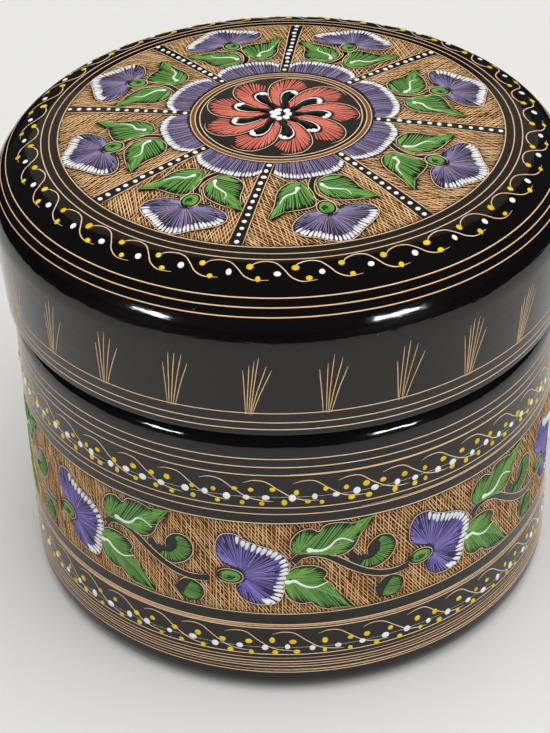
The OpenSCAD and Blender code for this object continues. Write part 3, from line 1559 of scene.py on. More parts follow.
@dataclass
class Field:
    """A field to be hatched: its corners and the figures that stay free of lines."""

    low: tuple[float, float]
    high: tuple[float, float]
    clear: list[Path]
    holds: Callable[[np.ndarray], np.ndarray] | None = None

    def free(self, points: np.ndarray) -> np.ndarray:
        """Tells which points lie in the field and outside every figure.

        Args:
            points: The points to test.

        Returns:
            True for each free point.
        """
        good = np.all((points > self.low) & (points < self.high), axis=1)
        if self.holds:
            good[good] = self.holds(points[good])
        for outline in self.clear:
            least, most = outline.min(axis=0), outline.max(axis=0)
            near = good & np.all((points > least) & (points < most), axis=1)
            if near.any():
                good[near] = ~inside(points[near], outline)
        return good

    def hatch(self, families: tuple[Lines, ...], seed: int) -> Drawing:
        """Scribes the field with fine crossing lines that stop at the figures.

        Args:
            families: The sets of lines that cross.
            seed: Seed of the unsteady hand.

        Returns:
            The drawing.
        """
        drawing = Drawing(seed)
        low, high = np.array(self.low), np.array(self.high)
        middle, half = (low + high) / 2, np.linalg.norm(high - low) / 2
        t = np.arange(-half, half, HATCH_STEP)
        for lines in families:
            along = polar(lines.degrees, 1.0)
            across = np.array([-along[1], along[0]])
            for row in np.arange(-half, half, lines.pitch):
                offset = row + drawing.spread(HATCH_DRIFT * lines.pitch)
                wave = sum(tall * np.sin(t / length + offset * shift) for tall, length, shift in WAVES)
                points = middle + along * t[:, None] + across * (offset + wave)[:, None]
                good = self.free(points)
                ends = np.flatnonzero(np.diff(np.concatenate([[0], good.astype(int), [0]])))
                for first, last in zip(ends[::2], ends[1::2]):
                    scribe_run(drawing, points[first:last], lines.half)
        return drawing


def scribe_run(drawing: Drawing, points: np.ndarray, half: float) -> None:
    """Scribes a long line as the short strokes that a hand makes of it.

    Args:
        drawing: The sheet to draw on.
        points: Points of the long line.
        half: Half the width of a stroke.
    """
    at = 0
    while at < len(points) - 1:
        run = int(drawing.hand.integers(8, 30))
        piece = points[at:at + run]
        if len(piece) > 1:
            few = np.unique(np.linspace(0, len(piece) - 1, max(2, len(piece) // 3 + 1)).astype(int))
            drawing.stroke(piece[few], half * (1.0 + drawing.spread(0.25)), 0.5, 0.5)
        at += run - 1 + int(drawing.hand.integers(0, 2))


# The lid


SHOULDER_CURVE = (
    (0.0, 17.0), (0.9, 12.5), (2.9, 10.0), (4.9, 12.0), (6.4, 18.5), (7.7, 25.5), (9.6, 29.5), (12.2, 29.0),
)
SHOULDER_MIDDLE = 19.0
SHOULDER_CHAINS = (
    Chain(along=-0.1, height=16.5, half=0.56, drift=0.4, rise=1.2, uneven=0.06),
    Chain(along=5.1, height=23.0, half=0.52, drift=0.3, rise=0.9, uneven=0.05),
    Chain(along=10.6, height=28.5, half=0.48, drift=0.4, rise=1.0, uneven=0.06),
)
SPOKE_ENDS = (15.9, 38.4)


def turned_out(path: Path, degrees: float) -> Path:
    """Lays a sheet with +Y out from the axis and +X counter-clockwise along an angle, seen from above."""
    out = polar(degrees, 1.0)
    return path[:, 1:2] * out + path[:, 0:1] * np.array([-out[1], out[0]])


@dataclass(frozen=True)
class Sector:
    """The space between two spokes, each given by the angles of its foot and its tip."""

    first: tuple[float, float]
    last: tuple[float, float]

    @property
    def middle(self) -> float:
        """The angle of its middle."""
        return sum((*self.first, *self.last)) / 4

    def half_turn(self, gap: float) -> float:
        """Returns half the angle between the feet of its spokes, less a gap at each."""
        return (self.last[0] - self.first[0]) / 2 - gap

    def in_plan(self, path: Path) -> Path:
        """Lays a sheet along the sector's middle."""
        return turned_out(path, self.middle)

    def foot_in_plan(self, path: Path) -> Path:
        """Lays a sheet along the middle between the feet of its spokes."""
        return turned_out(path, (self.first[0] + self.last[0]) / 2)

    def corners(self, low: float, high: float) -> np.ndarray:
        """Returns points round the sector's edge between two radii."""
        turns = np.linspace(min(self.first), max(self.last), 9)
        return np.array([polar(turn, radius) for turn in turns for radius in (low, high)])

    def holds(self, points: np.ndarray, low: float, high: float) -> np.ndarray:
        """Tells which points lie in the sector between two radii.

        Args:
            points: The points to test.
            low: The smaller radius.
            high: The larger radius.

        Returns:
            True for each point inside.
        """
        radius = np.hypot(points[:, 0], points[:, 1])
        angle = np.degrees(np.arctan2(points[:, 1], points[:, 0]))
        starts = np.interp(radius, SPOKE_ENDS, self.first)
        span = np.interp(radius, SPOKE_ENDS, self.last) - starts
        return (radius > low) & (radius < high) & ((angle - starts) % 360.0 < span)


@dataclass
class Lid:
    """The lid: a shallow dome with a rolled shoulder, a skirt and its ornament."""

    seam: float = 58.8
    height: float = 31.2
    body_radius: float = 49.2
    rim_proud: float = 0.9
    skirt_flare: float = 1.1
    shoulder: float = 11.0
    dome_rise: float = 2.8
    dome_margin: float = 9.7
    rim_wall: float = 4.5
    crown: float = 6.5
    cove: float = 7.0
    rim_round: float = 0.4
    centre_rings: tuple[float, ...] = (14.0, 14.8, 15.6)
    field_rings: tuple[float, ...] = (38.6, 40.1, 41.5)
    shoulder_rings: tuple[float, ...] = (44.0, 52.0, 60.0)
    rim_rings: tuple[float, ...] = (1.4, 2.85, 4.8)
    spokes: tuple[tuple[float, float], ...] = (
        (-97.3, -101.7), (-54.4, -52.9), (-7.0, -6.0), (42.8, 42.6),
        (87.2, 84.8), (128.7, 126.2), (173.6, 168.1), (218.8, 217.3),
    )
    scallop_gap: float = 3.0
    hatch_leans: tuple[float, ...] = (57.0, 50.0)
    hatch_cross: float = 91.0
    petals: int = 9
    petal_turn: float = -81.0
    stained_rings: tuple[float, ...] = (15.02, 15.2, 15.38)
    shoulder_curves: int = 37
    tufts: int = 25
    tuft_turn: float = -97.5
    hand: Layer = Layer(wander=0.25, grain=110.0, seed=4)

    def __post_init__(self) -> None:
        """Works the profile out from the lid's sizes."""
        self.rim_radius = self.body_radius + self.rim_proud
        self.radius = self.rim_radius + self.skirt_flare
        self.top = self.seam + self.height
        dome = self.radius - self.dome_margin
        self.sphere = (dome**2 + self.dome_rise**2) / (2 * self.dome_rise)
        self.sphere_z = self.top - self.sphere
        self.shoulder_x = self.radius - self.shoulder
        reach = self.sphere - self.shoulder
        self.shoulder_z = self.sphere_z + math.sqrt(reach**2 - self.shoulder_x**2)
        self.tangent = math.degrees(math.asin(self.shoulder_x / reach))
        dome_arc = arc(0, self.sphere_z, self.sphere, 90, 90 - self.tangent, 60)
        dome_arc[0, 0] = 0.0
        side = arc(self.shoulder_x, self.shoulder_z, self.shoulder, 90 - self.tangent, 0, 70)
        foot = (self.rim_radius, self.seam + self.rim_round)
        skirt = straight((self.radius, self.shoulder_z), foot, 24)
        outside = np.vstack([dome_arc, side[1:], skirt[1:]])
        self.turning = Turning(outside, self.radius)
        self.turning.closed_profile = self.profile(outside)

    def ring_ways(self) -> list[float]:
        """Returns how far along the outside each scribed ring lies.

        Returns:
            The ways, in millimetres.
        """
        way = self.turning.way_at_radius
        ways = [float(way(radius)) for radius in (*self.centre_rings, *self.field_rings)]
        edge = math.radians(self.tangent) * self.sphere
        ways += [edge + math.radians(angle - self.tangent) * self.shoulder for angle in self.shoulder_rings]
        ways += [float(self.turning.way_at_height(self.seam + h)) for h in self.rim_rings]
        return ways

    def profile(self, outside: Path) -> Path:
        """Returns the whole profile, from the crown round to the ceiling.

        Args:
            outside: The outside, without its rings.

        Returns:
            The profile's points.
        """
        rim = arc(self.rim_radius - self.rim_round, self.seam + self.rim_round, self.rim_round, 0, -90, 7)
        bore = self.rim_radius - self.rim_wall
        ceiling = self.top - self.crown
        inner = arc(bore - self.cove, ceiling - self.cove, self.cove, 0, 90, 16)
        mouth = arc(bore + 0.5, self.seam + 0.5, 0.5, -90, -180, 5)
        grooves = grooved(outside, self.ring_ways())
        middle = straight((bore - self.cove, ceiling), (0.0, ceiling), 8)
        return np.vstack([grooves, rim[1:], mouth, inner, middle[1:]])

    def top_view(self, path: Path) -> Path:
        """Turns points of a sheet seen from above, in the box's own x and y, into turns and ways."""
        radius = np.hypot(path[:, 0], path[:, 1])
        return np.column_stack([np.arctan2(path[:, 1], path[:, 0]), self.turning.way_at_radius(radius)])

    def fanned(self, path: Path) -> Path:
        """Turns points of a sheet with +Y out from the axis into turns and ways from an anchor."""
        radius = np.hypot(path[:, 0], path[:, 1])
        return np.column_stack([np.arctan2(path[:, 0], path[:, 1]), self.turning.way_at_radius(radius)])

    def band(self, path: Path) -> Path:
        """Turns points of a band round the shoulder, in mm round and degrees down, into turns and ways.

        Args:
            path: The line's points.

        Returns:
            The turns and ways.
        """
        edge = math.radians(self.tangent) * self.sphere
        ways = edge + np.radians(path[:, 1] - self.tangent) * self.shoulder
        return np.column_stack([path[:, 0] / self.radius, ways])

    def sectors(self) -> list["Sector"]:
        """Returns the spaces between the spokes."""
        following = [*self.spokes[1:], tuple(angle + 360.0 for angle in self.spokes[0])]
        return [Sector(first, last) for first, last in zip(self.spokes, following)]

    def spray(self) -> Motif:
        """Draws one flower with its bud, stem and two leaves, out along +Y.

        Returns:
            The motif.
        """
        motif = Motif()
        for leaf in LID_LEAVES:
            leaf.draw(motif)
        LID_FLOWER.draw(motif)
        motif.bud((0.1, 29.6), 2.4, 3.1)
        motif.stem([(0.4, 20.9), (-0.6, 22.8), (-1.0, 24.8), (-0.7, 26.4), (0.0, 27.5)], 0.5)
        return motif

    def petal(self) -> Motif:
        """Draws one of the curled petals round the middle, out along +Y.

        Returns:
            The motif.
        """
        motif = Motif()
        inner = [(0.5, 2.4), (1.0, 4.6), (1.4, 6.6), (1.0, 8.3), (-0.2, 9.2), (-1.5, 8.6)]
        outer = [
            (1.9, 3.4), (2.8, 6.0), (3.3, 8.6), (2.9, 10.8),
            (1.6, 12.3), (0.0, 12.9), (-1.6, 12.2), (-2.8, 10.2),
        ]
        motif.comb(inner, outer, RED, 27)
        motif.border([
            (1.8, 2.6), (3.1, 5.6), (3.8, 8.6), (3.3, 11.2), (1.8, 12.9), (-0.3, 13.5), (-2.2, 13.0),
        ])
        comma = smooth([(-0.1, 2.2), (-0.2, 4.0), (0.0, 5.8), (-0.3, 7.4)], 0.25)
        motif.sheet("ink").stroke(comma, 0.15 + 0.75 * np.linspace(0.0, 1.0, len(comma)))
        hook = smooth([(0.5, 3.6), (1.0, 5.6), (0.95, 7.3), (0.1, 8.4), (-1.1, 8.2), (-1.4, 7.2)], 0.25)
        motif.sheet("white").stroke(hook, 0.05 + 0.36 * np.linspace(0.0, 1.0, len(hook)) ** 1.7)
        motif.sheet("white_drops").drop((-0.8, 8.1), 0.55)
        return motif

    def scallop(self, half_turn: float) -> Motif:
        """Draws one arc of the violet ring round the middle, out along +Y.

        Args:
            half_turn: Half the angle that it spans, in degrees.

        Returns:
            The motif.
        """
        def at(turn: float, radius: float) -> tuple[float, float]:
            """Returns the point at an angle from +Y, in degrees, and a radius."""
            return radius * math.sin(math.radians(turn)), radius * math.cos(math.radians(turn))

        motif = Motif()
        turns = np.linspace(-half_turn, half_turn, 17)
        inner = [at(turn, self.centre_rings[-1] + 0.35) for turn in turns]
        outer = [at(turn, 20.75 - 1.9 * abs(turn / half_turn) ** 4) for turn in turns]
        motif.comb(inner, outer, VIOLET, int(1.7 * half_turn), cover=0.2, swell=0.25)
        motif.tips(outer, (0.0, 0.0), int(1.25 * half_turn), 1.1, 0.27)
        for share in (-0.6, -0.1, 0.45):
            turn = share * half_turn
            scratch = [at(turn, 16.2), at(turn + 1.6, 17.6), at(turn + 1.2, 19.2)]
            motif.sheet("scratch").stroke(smooth(scratch, 0.5), 0.055)
        motif.clear.append(grown(np.array([*outer, *inner[::-1]]), 0.3))
        return motif

    def draw_spokes(self) -> Motif:
        """Draws the dotted spokes between the sectors, seen from above.

        Returns:
            The motif.
        """
        motif = Motif()
        for foot, tip in self.spokes:
            start, end = polar(foot, SPOKE_ENDS[0]), polar(tip, SPOKE_ENDS[1])
            along = (end - start) / np.linalg.norm(end - start)
            side = np.array([-along[1], along[0]])
            widths = ((0.0, 0.8), (0.5, 0.95), (1.0, 1.2))
            edges = [
                smooth([start + (end - start) * share + sign * half * side for share, half in widths], 0.8)
                for sign in (1, -1)
            ]
            for edge in edges:
                motif.sheet("scribed").stroke(edge, 0.085)
            motif.clear.append(np.vstack([edges[0], edges[1][::-1]]))
            drops = motif.sheet("white_drops")
            for share in np.linspace(0.04, 0.97, 13):
                spot = start + (end - start) * share
                spot = spot + side * drops.spread(0.12) + along * drops.spread(0.12)
                drops.drop(tuple(spot), 0.41 + drops.spread(0.05))
        return motif

    def middle(self) -> Motif:
        """Draws the small ring of drops in the very middle, seen from above.

        Returns:
            The motif.
        """
        motif = Motif()
        drops = motif.sheet("white_drops")
        for index in range(7):
            drops.drop(tuple(polar(360.0 * index / 7, 1.45) + np.array([drops.spread(0.15), -0.2])), 0.62)
        drops.drop((-0.5, 0.1), 0.55)
        return motif

    def build(self, finishes: Finishes, trees: Trees) -> None:
        """Makes every piece of the lid.

        Args:
            finishes: The finishes.
            trees: The Geometry Nodes trees.
        """
        shop = Workshop(self.turning, Body.LID, Slot.LID, finishes, trees)
        wood = shop.turn("lid_turned_wood")
        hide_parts("lid")
        self.scribe_rings(shop)
        clear = self.paint_top(shop)
        self.hatch_field(shop, clear)
        self.dress_shoulder(shop)
        self.dress_skirt(shop)
        shop.close()

    def paint_top(self, shop: Workshop) -> list[Path]:
        """Paints the flowers, scallops, spokes and petals on the top.

        Args:
            shop: The workshop of the lid.

        Returns:
            The outlines that the hatching leaves free.
        """
        spray, spokes, ring = self.spray(), self.draw_spokes(), Motif()
        clear = list(spokes.clear)
        sectors = self.sectors()
        for sector in sectors:
            ring.add(self.scallop(sector.half_turn(self.scallop_gap)), sector.foot_in_plan)
            clear += [sector.in_plan(outline) for outline in spray.clear]
        middles = Anchors(tuple(sector.middle for sector in sectors))
        shop.lay_motif("lid_sprays", spray, self.fanned, self.hand, middles)
        shop.lay_motif("lid_scallops", ring, self.top_view, self.hand)
        shop.lay_motif("lid_spokes", spokes, self.top_view, self.hand)
        petals = Anchors.even(self.petals, self.petal_turn)
        shop.lay_motif("lid_petals", self.petal(), self.fanned, Layer(wander=0.35, seed=9), petals)
        shop.lay_motif("lid_middle", self.middle(), self.top_view, self.hand)
        return clear + ring.clear

    def hatch_field(self, shop: Workshop, clear: list[Path]) -> None:
        """Scribes the fine crossing lines between the figures, each sector by itself.

        Args:
            shop: The workshop of the turned piece.
            clear: The outlines that stay free of lines.
        """
        low, high = self.centre_rings[-1] + 0.15, self.field_rings[0] - 0.1
        for index, sector in enumerate(self.sectors()):
            corners = sector.corners(low, high)
            holds = partial(sector.holds, low=low, high=high)
            space = Field(tuple(corners.min(axis=0)), tuple(corners.max(axis=0)), clear, holds)
            turn = 90.0 + sector.middle
            steep, flat = turn - self.hatch_leans[index % len(self.hatch_leans)], turn - self.hatch_cross
            lines = space.hatch((Lines(steep, 0.47, 0.112), Lines(flat, 0.72, 0.1)), 21 + index)
            ground = space.hatch((Lines(flat, GROUND_PITCH, GROUND_HALF),), 71 + index)
            shop.lay(f"lid_ground_{index + 1}", ground, "ground", self.top_view, GROUND)
            layer = replace(self.hand, sides=4)
            shop.lay(f"lid_hatching_{index + 1}", lines, "hatched", self.top_view, layer)

    def scribe_rings(self, shop: Workshop) -> None:
        """Makes the bare wood at the bottom of each scribed ring.

        Args:
            shop: The workshop of the turned piece.
        """
        rings, fill = Drawing(5), Drawing(6)
        for way in self.ring_ways():
            rings.ring(way, RING_HALF)
        layer = replace(GROOVE, wander=0.1, grain=60.0, seed=2)
        shop.lay("lid_scribed_rings", rings, "scribed", same, layer)
        for radius in self.stained_rings:
            fill.ring(float(self.turning.way_at_radius(radius)), 0.12)
        layer = Layer(sides=4, wander=0.12, grain=200.0, seed=3)
        shop.lay("lid_ring_fill", fill, "stained", same, layer)

    def dress_shoulder(self, shop: Workshop) -> None:
        """Makes the band of curves and drops round the shoulder.

        Args:
            shop: The workshop of the turned piece.
        """
        curves, yellow, white = Drawing(31), Drawing(32), Drawing(33)
        pitch = TURN * self.radius / self.shoulder_curves
        for index in range(self.shoulder_curves):
            x = index * pitch + curves.spread(0.5)
            tall = 1.0 + curves.spread(0.12)
            knots = [
                (x + dx, SHOULDER_MIDDLE + (down - SHOULDER_MIDDLE) * tall) for dx, down in SHOULDER_CURVE
            ]
            curves.stroke(smooth(knots, 0.5), 0.11)
            yellow.drop_beside(x, SHOULDER_CHAINS[0])
            white.drop_beside(x, SHOULDER_CHAINS[1])
            yellow.drop_beside(x, SHOULDER_CHAINS[2])
        shop.lay("lid_shoulder_curves", curves, "scribed", self.band, replace(CURVES, seed=6))
        for name, drawing in (("yellow", yellow), ("white", white)):
            shop.lay(f"lid_shoulder_{name}", drawing, name, self.band, Layer(lift=0.02), drops=True)

    def dress_skirt(self, shop: Workshop) -> None:
        """Makes the tufts of scribed lines that stand round the skirt.

        Args:
            shop: The workshop of the turned piece.
        """
        tufts = Drawing(41)
        pitch = TURN * self.radius / self.tufts
        first = math.radians(self.tuft_turn) * self.radius
        base = self.seam + self.rim_rings[-1]
        for index in range(self.tufts):
            x = index * pitch + first + tufts.spread(0.25)
            lean = 1.5 + tufts.spread(0.5)
            count = int(tufts.hand.integers(5, 7))
            for blade in range(count):
                share = 2.0 * blade / (count - 1) - 1.0
                foot = (x + 0.6 * share + tufts.spread(0.12), base - 0.3)
                tall = 11.2 - 2.7 * abs(share) ** 1.8 + tufts.spread(0.6)
                tip = (x + lean + 2.3 * share + tufts.spread(0.25), base + tall)
                middle = (foot[0] * 0.53 + tip[0] * 0.47, base + 0.5 * tall)
                tufts.stroke(smooth([foot, middle, tip], 0.8), 0.08)
        layer = Layer(sides=5, wander=0.12, grain=150.0, seed=7)
        shop.lay("lid_skirt_tufts", tufts, "hatched", self.turning.side_view, layer)


# The body


@dataclass
class BoxBody:
    """The body: a turned bowl with a neck, a rounded foot and its ornament."""

    radius: float = 49.2
    height: float = 58.8
    floor: float = 6.0
    foot_round: float = 4.0
    seam_round: float = 4.1
    cove: float = 7.0
    foot_ring: float = 9.0
    foot_hollow: float = 1.2
    neck_height: float = 9.8
    neck_radius: float = 45.3
    neck_wall: float = 2.6
    neck_chamfer: float = 0.8
    rings: tuple[float, ...] = (53.3, 51.6, 49.9, 43.0, 41.6, 39.6, 19.1, 16.6, 15.7, 9.5, 7.8, 6.6, 5.2)
    field_low: float = 19.1
    field_high: float = 39.6
    buds: tuple[float, ...] = (-144.2, -103.1, -63.7, -24.1, 15.6, 55.2, 94.8, 134.5, 174.1)
    hatching: tuple[Lines, ...] = (Lines(124.0, 0.49, 0.105), Lines(88.0, 0.67, 0.095))
    slips: tuple[tuple[float, float, float], ...] = (
        (50.1, -90.0, -40.0), (41.9, -76.0, 10.0), (16.0, -150.0, -100.0),
        (7.2, -120.0, -70.0), (5.7, -100.0, 20.0), (8.6, -170.0, -90.0),
    )
    doubled_rings: tuple[float, ...] = (16.15, 16.35, 8.6, 7.2, 5.9)
    hand: Layer = Layer(wander=0.3, grain=90.0, seed=14)

    def __post_init__(self) -> None:
        """Works the profile out from the body's sizes."""
        seam = arc(self.radius - self.seam_round, self.height - self.seam_round, self.seam_round, 90, 0, 14)
        foot = arc(self.radius - self.foot_round, self.foot_round, self.foot_round, 0, -90, 18)
        wall = straight(tuple(seam[-1]), tuple(foot[0]), 60)
        outside = np.vstack([seam, wall[1:], foot[1:]])
        self.turning = Turning(outside, self.radius)
        ways = [float(self.turning.way_at_height(height)) for height in self.rings]
        bore = self.neck_radius - self.neck_wall
        lip = self.height + self.neck_height
        recess = self.radius - self.foot_round - self.foot_ring
        inner = arc(bore - self.cove, self.floor + self.cove, self.cove, -90, 0, 16)
        self.turning.closed_profile = np.vstack([
            straight((0.0, self.floor), tuple(inner[0]), 8),
            inner[1:],
            straight((bore, lip - 0.6), (bore + 0.4, lip), 3),
            [(self.neck_radius - self.neck_chamfer, lip), (self.neck_radius, lip - self.neck_chamfer)],
            [(self.neck_radius, self.height)],
            grooved(outside, ways),
            [(recess, 0.0), (recess - self.foot_hollow, self.foot_hollow)],
            straight((recess - self.foot_hollow, self.foot_hollow), (0.0, self.foot_hollow), 6)[1:],
        ])
        self.ring_ways = ways

    def spray(self) -> Motif:
        """Draws one flower of the running spray, with its bud near zero round and its true height.

        Returns:
            The motif.
        """
        motif = Motif()
        for leaf in BODY_LEAVES:
            leaf.draw(motif)
        BODY_FLOWER.draw(motif)
        motif.bud((0.4, 27.3), 2.4, 3.9, 90.0)
        stem = [
            (11.4, 31.0), (12.8, 32.4), (15.0, 32.8), (17.2, 32.1), (19.4, 30.5), (21.6, 28.8), (24.0, 27.3),
            (26.6, 26.2), (29.2, 25.8), (31.8, 26.2),
        ]
        motif.stem(stem, 0.7)
        for leaf in BODY_SMALL_LEAVES:
            leaf.draw(motif)
        return motif

    def build(self, finishes: Finishes, trees: Trees) -> None:
        """Makes every piece of the body.

        Args:
            finishes: The finishes.
            trees: The Geometry Nodes trees.
        """
        shop = Workshop(self.turning, Body.BOX, Slot.BOX, finishes, trees)
        wood = shop.turn("body_turned_wood")
        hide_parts("box_body")
        self.scribe_rings(shop)
        spray = self.spray()
        shop.lay_motif("body_sprays", spray, self.turning.side_view, self.hand, Anchors(self.buds))
        self.hatch_field(shop, spray)
        for band in BODY_BANDS:
            self.dress_band(shop, band)
        shop.close()

    def hatch_field(self, shop: Workshop, spray: Motif) -> None:
        """Scribes the field between the sprays.

        Args:
            shop: The workshop of the turned piece.
            spray: The spray that is repeated round the body.
        """
        clear = []
        for degrees in self.buds:
            for around in (0.0, TURN * self.radius, -TURN * self.radius):
                shift = np.array([math.radians(degrees) * self.radius + around, 0.0])
                clear += [outline + shift for outline in spray.clear]
        half = math.pi * self.radius
        space = Field((-half, self.field_low + 0.1), (half, self.field_high - 0.1), clear)
        lines = space.hatch(self.hatching, 22)
        shop.lay("body_hatching", lines, "hatched", self.turning.side_view, replace(self.hand, sides=4))
        ground = space.hatch((Lines(self.hatching[-1].degrees, GROUND_PITCH, GROUND_HALF),), 23)
        shop.lay("body_ground", ground, "ground", self.turning.side_view, GROUND)

    def scribe_rings(self, shop: Workshop) -> None:
        """Makes the bare wood at the bottom of each scribed ring, and the slips beside some.

        Args:
            shop: The workshop of the turned piece.
        """
        rings, slips = Drawing(7), Drawing(8)
        for way in self.ring_ways:
            rings.ring(way, RING_HALF)
        layer = replace(GROOVE, wander=0.12, grain=50.0, seed=8)
        shop.lay("body_scribed_rings", rings, "scribed", same, layer)
        for height, start, end in self.slips:
            angle = np.radians(np.linspace(start, end, 60))
            way = float(self.turning.way_at_height(height))
            slips.stroke(np.column_stack([angle, np.full(60, way)]), 0.09)
        for height in self.doubled_rings:
            slips.ring(float(self.turning.way_at_height(height)), 0.07)
        layer = Layer(sides=4, wander=0.25, grain=60.0, seed=9)
        shop.lay("body_ring_slips", slips, "hatched", same, layer)

    def dress_band(self, shop: Workshop, band: "Band") -> None:
        """Makes one band of long curves with chains of white and yellow drops.

        Args:
            shop: The workshop of the turned piece.
            band: The band.
        """
        lines, thread, yellow, white = (Drawing(band.seed + offset) for offset in range(4))
        full_turn = TURN * self.radius
        pitch = full_turn / band.curves
        for index in range(band.curves):
            x = index * pitch + lines.spread(0.5)
            knots = [(x + dx, y + lines.spread(0.08)) for dx, y in band.curve()]
            lines.stroke(smooth(knots, 0.5), 0.1)
        pitch = full_turn / band.drops
        for index in range(band.drops):
            x = index * pitch
            white.drop_beside(x, band.middle_chain)
            yellow.drop_beside(x, band.upper_chain)
            yellow.drop_beside(x, band.lower_chain)
        thread.ring(band.middle_chain.height, THREAD_HALF, full_turn)
        view = self.turning.side_view
        hand = replace(CURVES, seed=band.seed)
        shop.lay(f"{band.name}_curves", lines, "scribed", view, hand)
        shop.lay(f"{band.name}_thread", thread, "pale", view, replace(hand, sides=4, wander=0.3))
        for name, drawing in (("yellow", yellow), ("white", white)):
            shop.lay(f"{band.name}_{name}", drawing, name, view, Layer(lift=0.03), drops=True)


@dataclass(frozen=True)
class Band:
    """One band of curves and drops round the body: its heights, its chains and its counts."""

    name: str
    top: float
    bottom: float
    middle_chain: Chain
    upper_chain: Chain
    lower_chain: Chain
    curves: int
    drops: int
    seed: int

    def curve(self) -> Knots:
        """Returns the points of one long curve, from its top down to its bottom.

        Returns:
            The points.
        """
        top, bottom = self.top, self.bottom
        return [
            (0.0, top), (1.7, top + 0.55), (3.8, top + 0.3), (6.0, 0.62 * top + 0.38 * bottom),
            (8.3, 0.2 * top + 0.8 * bottom), (10.6, bottom + 0.15), (12.6, bottom),
        ]


THREAD_HALF = 0.03
BODY_BANDS = (
    Band(
        name="body_upper",
        top=48.2,
        bottom=44.4,
        middle_chain=Chain(along=0.0, height=45.3, half=0.6, drift=0.5, rise=0.25, uneven=0.1),
        upper_chain=Chain(along=1.5, height=46.6, half=0.52, drift=0.9, rise=0.4, uneven=0.08),
        lower_chain=Chain(along=2.4, height=44.2, half=0.48, drift=0.9, rise=0.25, uneven=0.08),
        curves=40,
        drops=84,
        seed=51,
    ),
    Band(
        name="body_lower",
        top=14.3,
        bottom=10.3,
        middle_chain=Chain(along=0.0, height=11.2, half=0.6, drift=0.5, rise=0.25, uneven=0.1),
        upper_chain=Chain(along=1.5, height=12.6, half=0.52, drift=0.9, rise=0.4, uneven=0.08),
        lower_chain=Chain(along=2.4, height=10.1, half=0.48, drift=0.9, rise=0.25, uneven=0.08),
        curves=38,
        drops=71,
        seed=61,
    ),
)


# The studio


@dataclass(frozen=True)
class PanelLamp:
    """One flat lamp that faces the box."""

    name: str
    place: tuple[float, float, float]
    wide: float
    tall: float
    watts: float
    mirrored: bool = False
    tint: tuple[float, float, float] = (1.0, 1.0, 1.0)

    def hang(self) -> None:
        """Hangs the lamp, which either lights the paint or shows in the gloss."""
        light = bpy.data.lights.new(self.name, "AREA")
        light.shape = "RECTANGLE"
        light.size = self.wide
        light.size_y = self.tall
        light.energy = self.watts
        light.color = self.tint
        holder = bpy.data.objects.new(self.name, light)
        holder.location = self.place
        aim = Vector((0.0, 0.0, 0.05)) - Vector(self.place)
        holder.rotation_euler = aim.to_track_quat("-Z", "Y").to_euler()
        holder.visible_camera = False
        holder.visible_glossy = self.mirrored
        holder.visible_diffuse = not self.mirrored
        bpy.context.scene.collection.objects.link(holder)


LAMPS = (
    PanelLamp("sky_panel", (0.35, -0.5, 3.0), 5.0, 5.0, 174.0),
    PanelLamp("front_panel", (0.33, -4.0, 2.47), 3.33, 2.33, 39.0),
    PanelLamp("back_wall", (0.0, 1.55, 1.27), 2.1, 1.2, 2.7, True, (1.0, 0.84, 0.66)),
    PanelLamp("left_window", (-0.86, -0.78, 0.22), 0.28, 0.08, 3.2, True),
    PanelLamp("right_window", (0.75, -0.92, 0.19), 0.34, 0.09, 4.6, True),
)


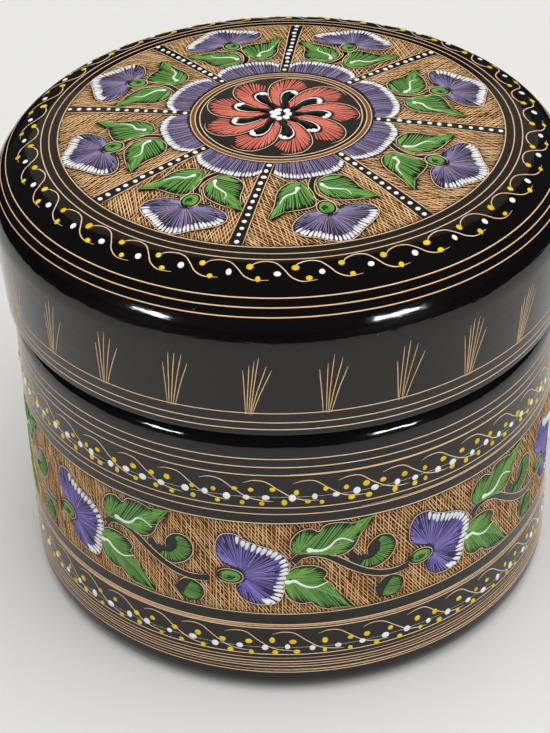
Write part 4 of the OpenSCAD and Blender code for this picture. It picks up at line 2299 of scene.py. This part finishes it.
@dataclass
class Studio:
    """The floor, the lamps and the camera."""

    floor_colour: Colour = (228, 227, 224)
    floor_half: float = 3.0
    floor_roughness: float = 0.9
    cloud_scale: float = 9.0
    cloud_depth: float = 0.975
    # Painted reflection: past this radius the floor shows the dark colour below to glossy rays only, so the
    # lacquer mirrors a dark band.
    dark_reflection_reach: float = 0.28
    fade_from: float = 0.3
    fade_to: float = 1.2
    painted_dark_reflection: Colour = (14, 14, 15)
    room_colour: tuple[float, ...] = (0.0485, 0.0492, 0.05, 1.0)
    focal: float = 2043.0
    image_width: float = 550.0
    sensor: float = 36.0
    place: tuple[float, float, float] = (0.0, -309.815, 261.471)
    right: tuple[float, float, float] = (0.99966529, -0.0099478, -0.02388186)
    up: tuple[float, float, float] = (0.02516765, 0.58770686, 0.80868241)
    forward: tuple[float, float, float] = (-0.00599092, 0.80901279, -0.58776051)

    def build(self) -> None:
        """Makes the whole studio."""
        self.set_camera()
        self.lay_floor()
        self.hang_lamps()
        view = bpy.context.scene.view_settings
        view.view_transform = "Standard"

    def set_camera(self) -> None:
        """Sets the camera up where the photograph was taken from."""
        camera = bpy.data.cameras.new("camera")
        camera.sensor_fit = "HORIZONTAL"
        camera.sensor_width = self.sensor
        camera.lens = self.focal * self.sensor / self.image_width
        camera.clip_start = 0.01
        holder = bpy.data.objects.new("camera", camera)
        right, up, back = Vector(self.right), Vector(self.up), -Vector(self.forward)
        matrix = holder.matrix_world.copy()
        for axis, direction in enumerate((right, up, back)):
            for row in range(3):
                matrix[row][axis] = direction[row]
        for row in range(3):
            matrix[row][3] = self.place[row] * MM
        holder.matrix_world = matrix
        bpy.context.scene.collection.objects.link(holder)
        bpy.context.scene.camera = holder

    def lay_floor(self) -> None:
        """Lays the pale floor, with a faint unevenness."""
        mesh = bpy.data.meshes.new("floor")
        half = self.floor_half
        corners = [(-half, -half, 0), (half, -half, 0), (half, half, 0), (-half, half, 0)]
        mesh.from_pydata(corners, [], [(0, 1, 2, 3)])
        mesh.materials.append(self.floor_material())
        floor = bpy.data.objects.new("floor", mesh)
        bpy.context.scene.collection.objects.link(floor)

    def floor_material(self) -> bpy.types.Material:
        """Makes the floor's finish: pale, with a painted dark reflection that only glossy rays see past a
        radius, and lost in haze far off.

        Returns:
            The material.
        """
        coat = Coat("pale_floor")
        sketch = coat.sketch
        colour = linear(*self.floor_colour)
        where = sketch.object_place()
        cloud = {"Vector": where, "Scale": self.cloud_scale, "Detail": 2.0}
        clouds = sketch.add("ShaderNodeTexNoise", cloud).outputs["Fac"]
        darker = (*(self.cloud_depth * channel for channel in colour[:3]), 1.0)
        pale = sketch.mix(clouds, darker, colour)
        out = sketch.from_axis(*sketch.split(where)[:2])
        rays = sketch.add("ShaderNodeLightPath").outputs
        # Painted reflection: past the radius, glossy rays see the floor dark while the camera and the light
        # see it pale.
        past = sketch.math("GREATER_THAN", out, self.dark_reflection_reach)
        dark = sketch.times(past, rays["Is Glossy Ray"])
        coat.feed(Base_Color=sketch.mix(dark, pale, linear(*self.painted_dark_reflection)))
        coat.feed(Roughness=self.floor_roughness)
        fading = {"Value": out, "From Min": self.fade_from, "From Max": self.fade_to}
        far = sketch.first("ShaderNodeMapRange", fading, interpolation_type="SMOOTHSTEP")
        haze = sketch.first("ShaderNodeEmission", {"Color": colour})
        seen = sketch.times(far, rays["Is Camera Ray"])
        faded = sketch.first("ShaderNodeMixShader", {0: seen, 1: coat.shader.outputs[0], 2: haze})
        sketch.feed(faded, coat.output.inputs["Surface"])
        return coat.material

    def hang_lamps(self) -> None:
        """Hangs the lamps and sets the room's own light, which the camera sees as pale as the floor."""
        world = bpy.data.worlds.new("room")
        world.use_nodes = True
        sketch = Sketch(world.node_tree)
        room = world.node_tree.nodes["Background"]
        seen = sketch.add("ShaderNodeLightPath").outputs["Is Camera Ray"]
        colour = sketch.mix(seen, self.room_colour, linear(*self.floor_colour))
        sketch.feed(colour, room.inputs["Color"])
        room.inputs["Strength"].default_value = 1.0
        bpy.context.scene.world = world
        for lamp in LAMPS:
            lamp.hang()


def main() -> None:
    """Builds the studio, the body and the lid."""
    logging.basicConfig(level=logging.INFO, format="%(message)s")
    Studio().build()
    trees = Trees()
    finishes = Finishes()
    BoxBody().build(finishes, trees)
    Lid().build(finishes, trees)


if __name__ == "__main__":
    main()
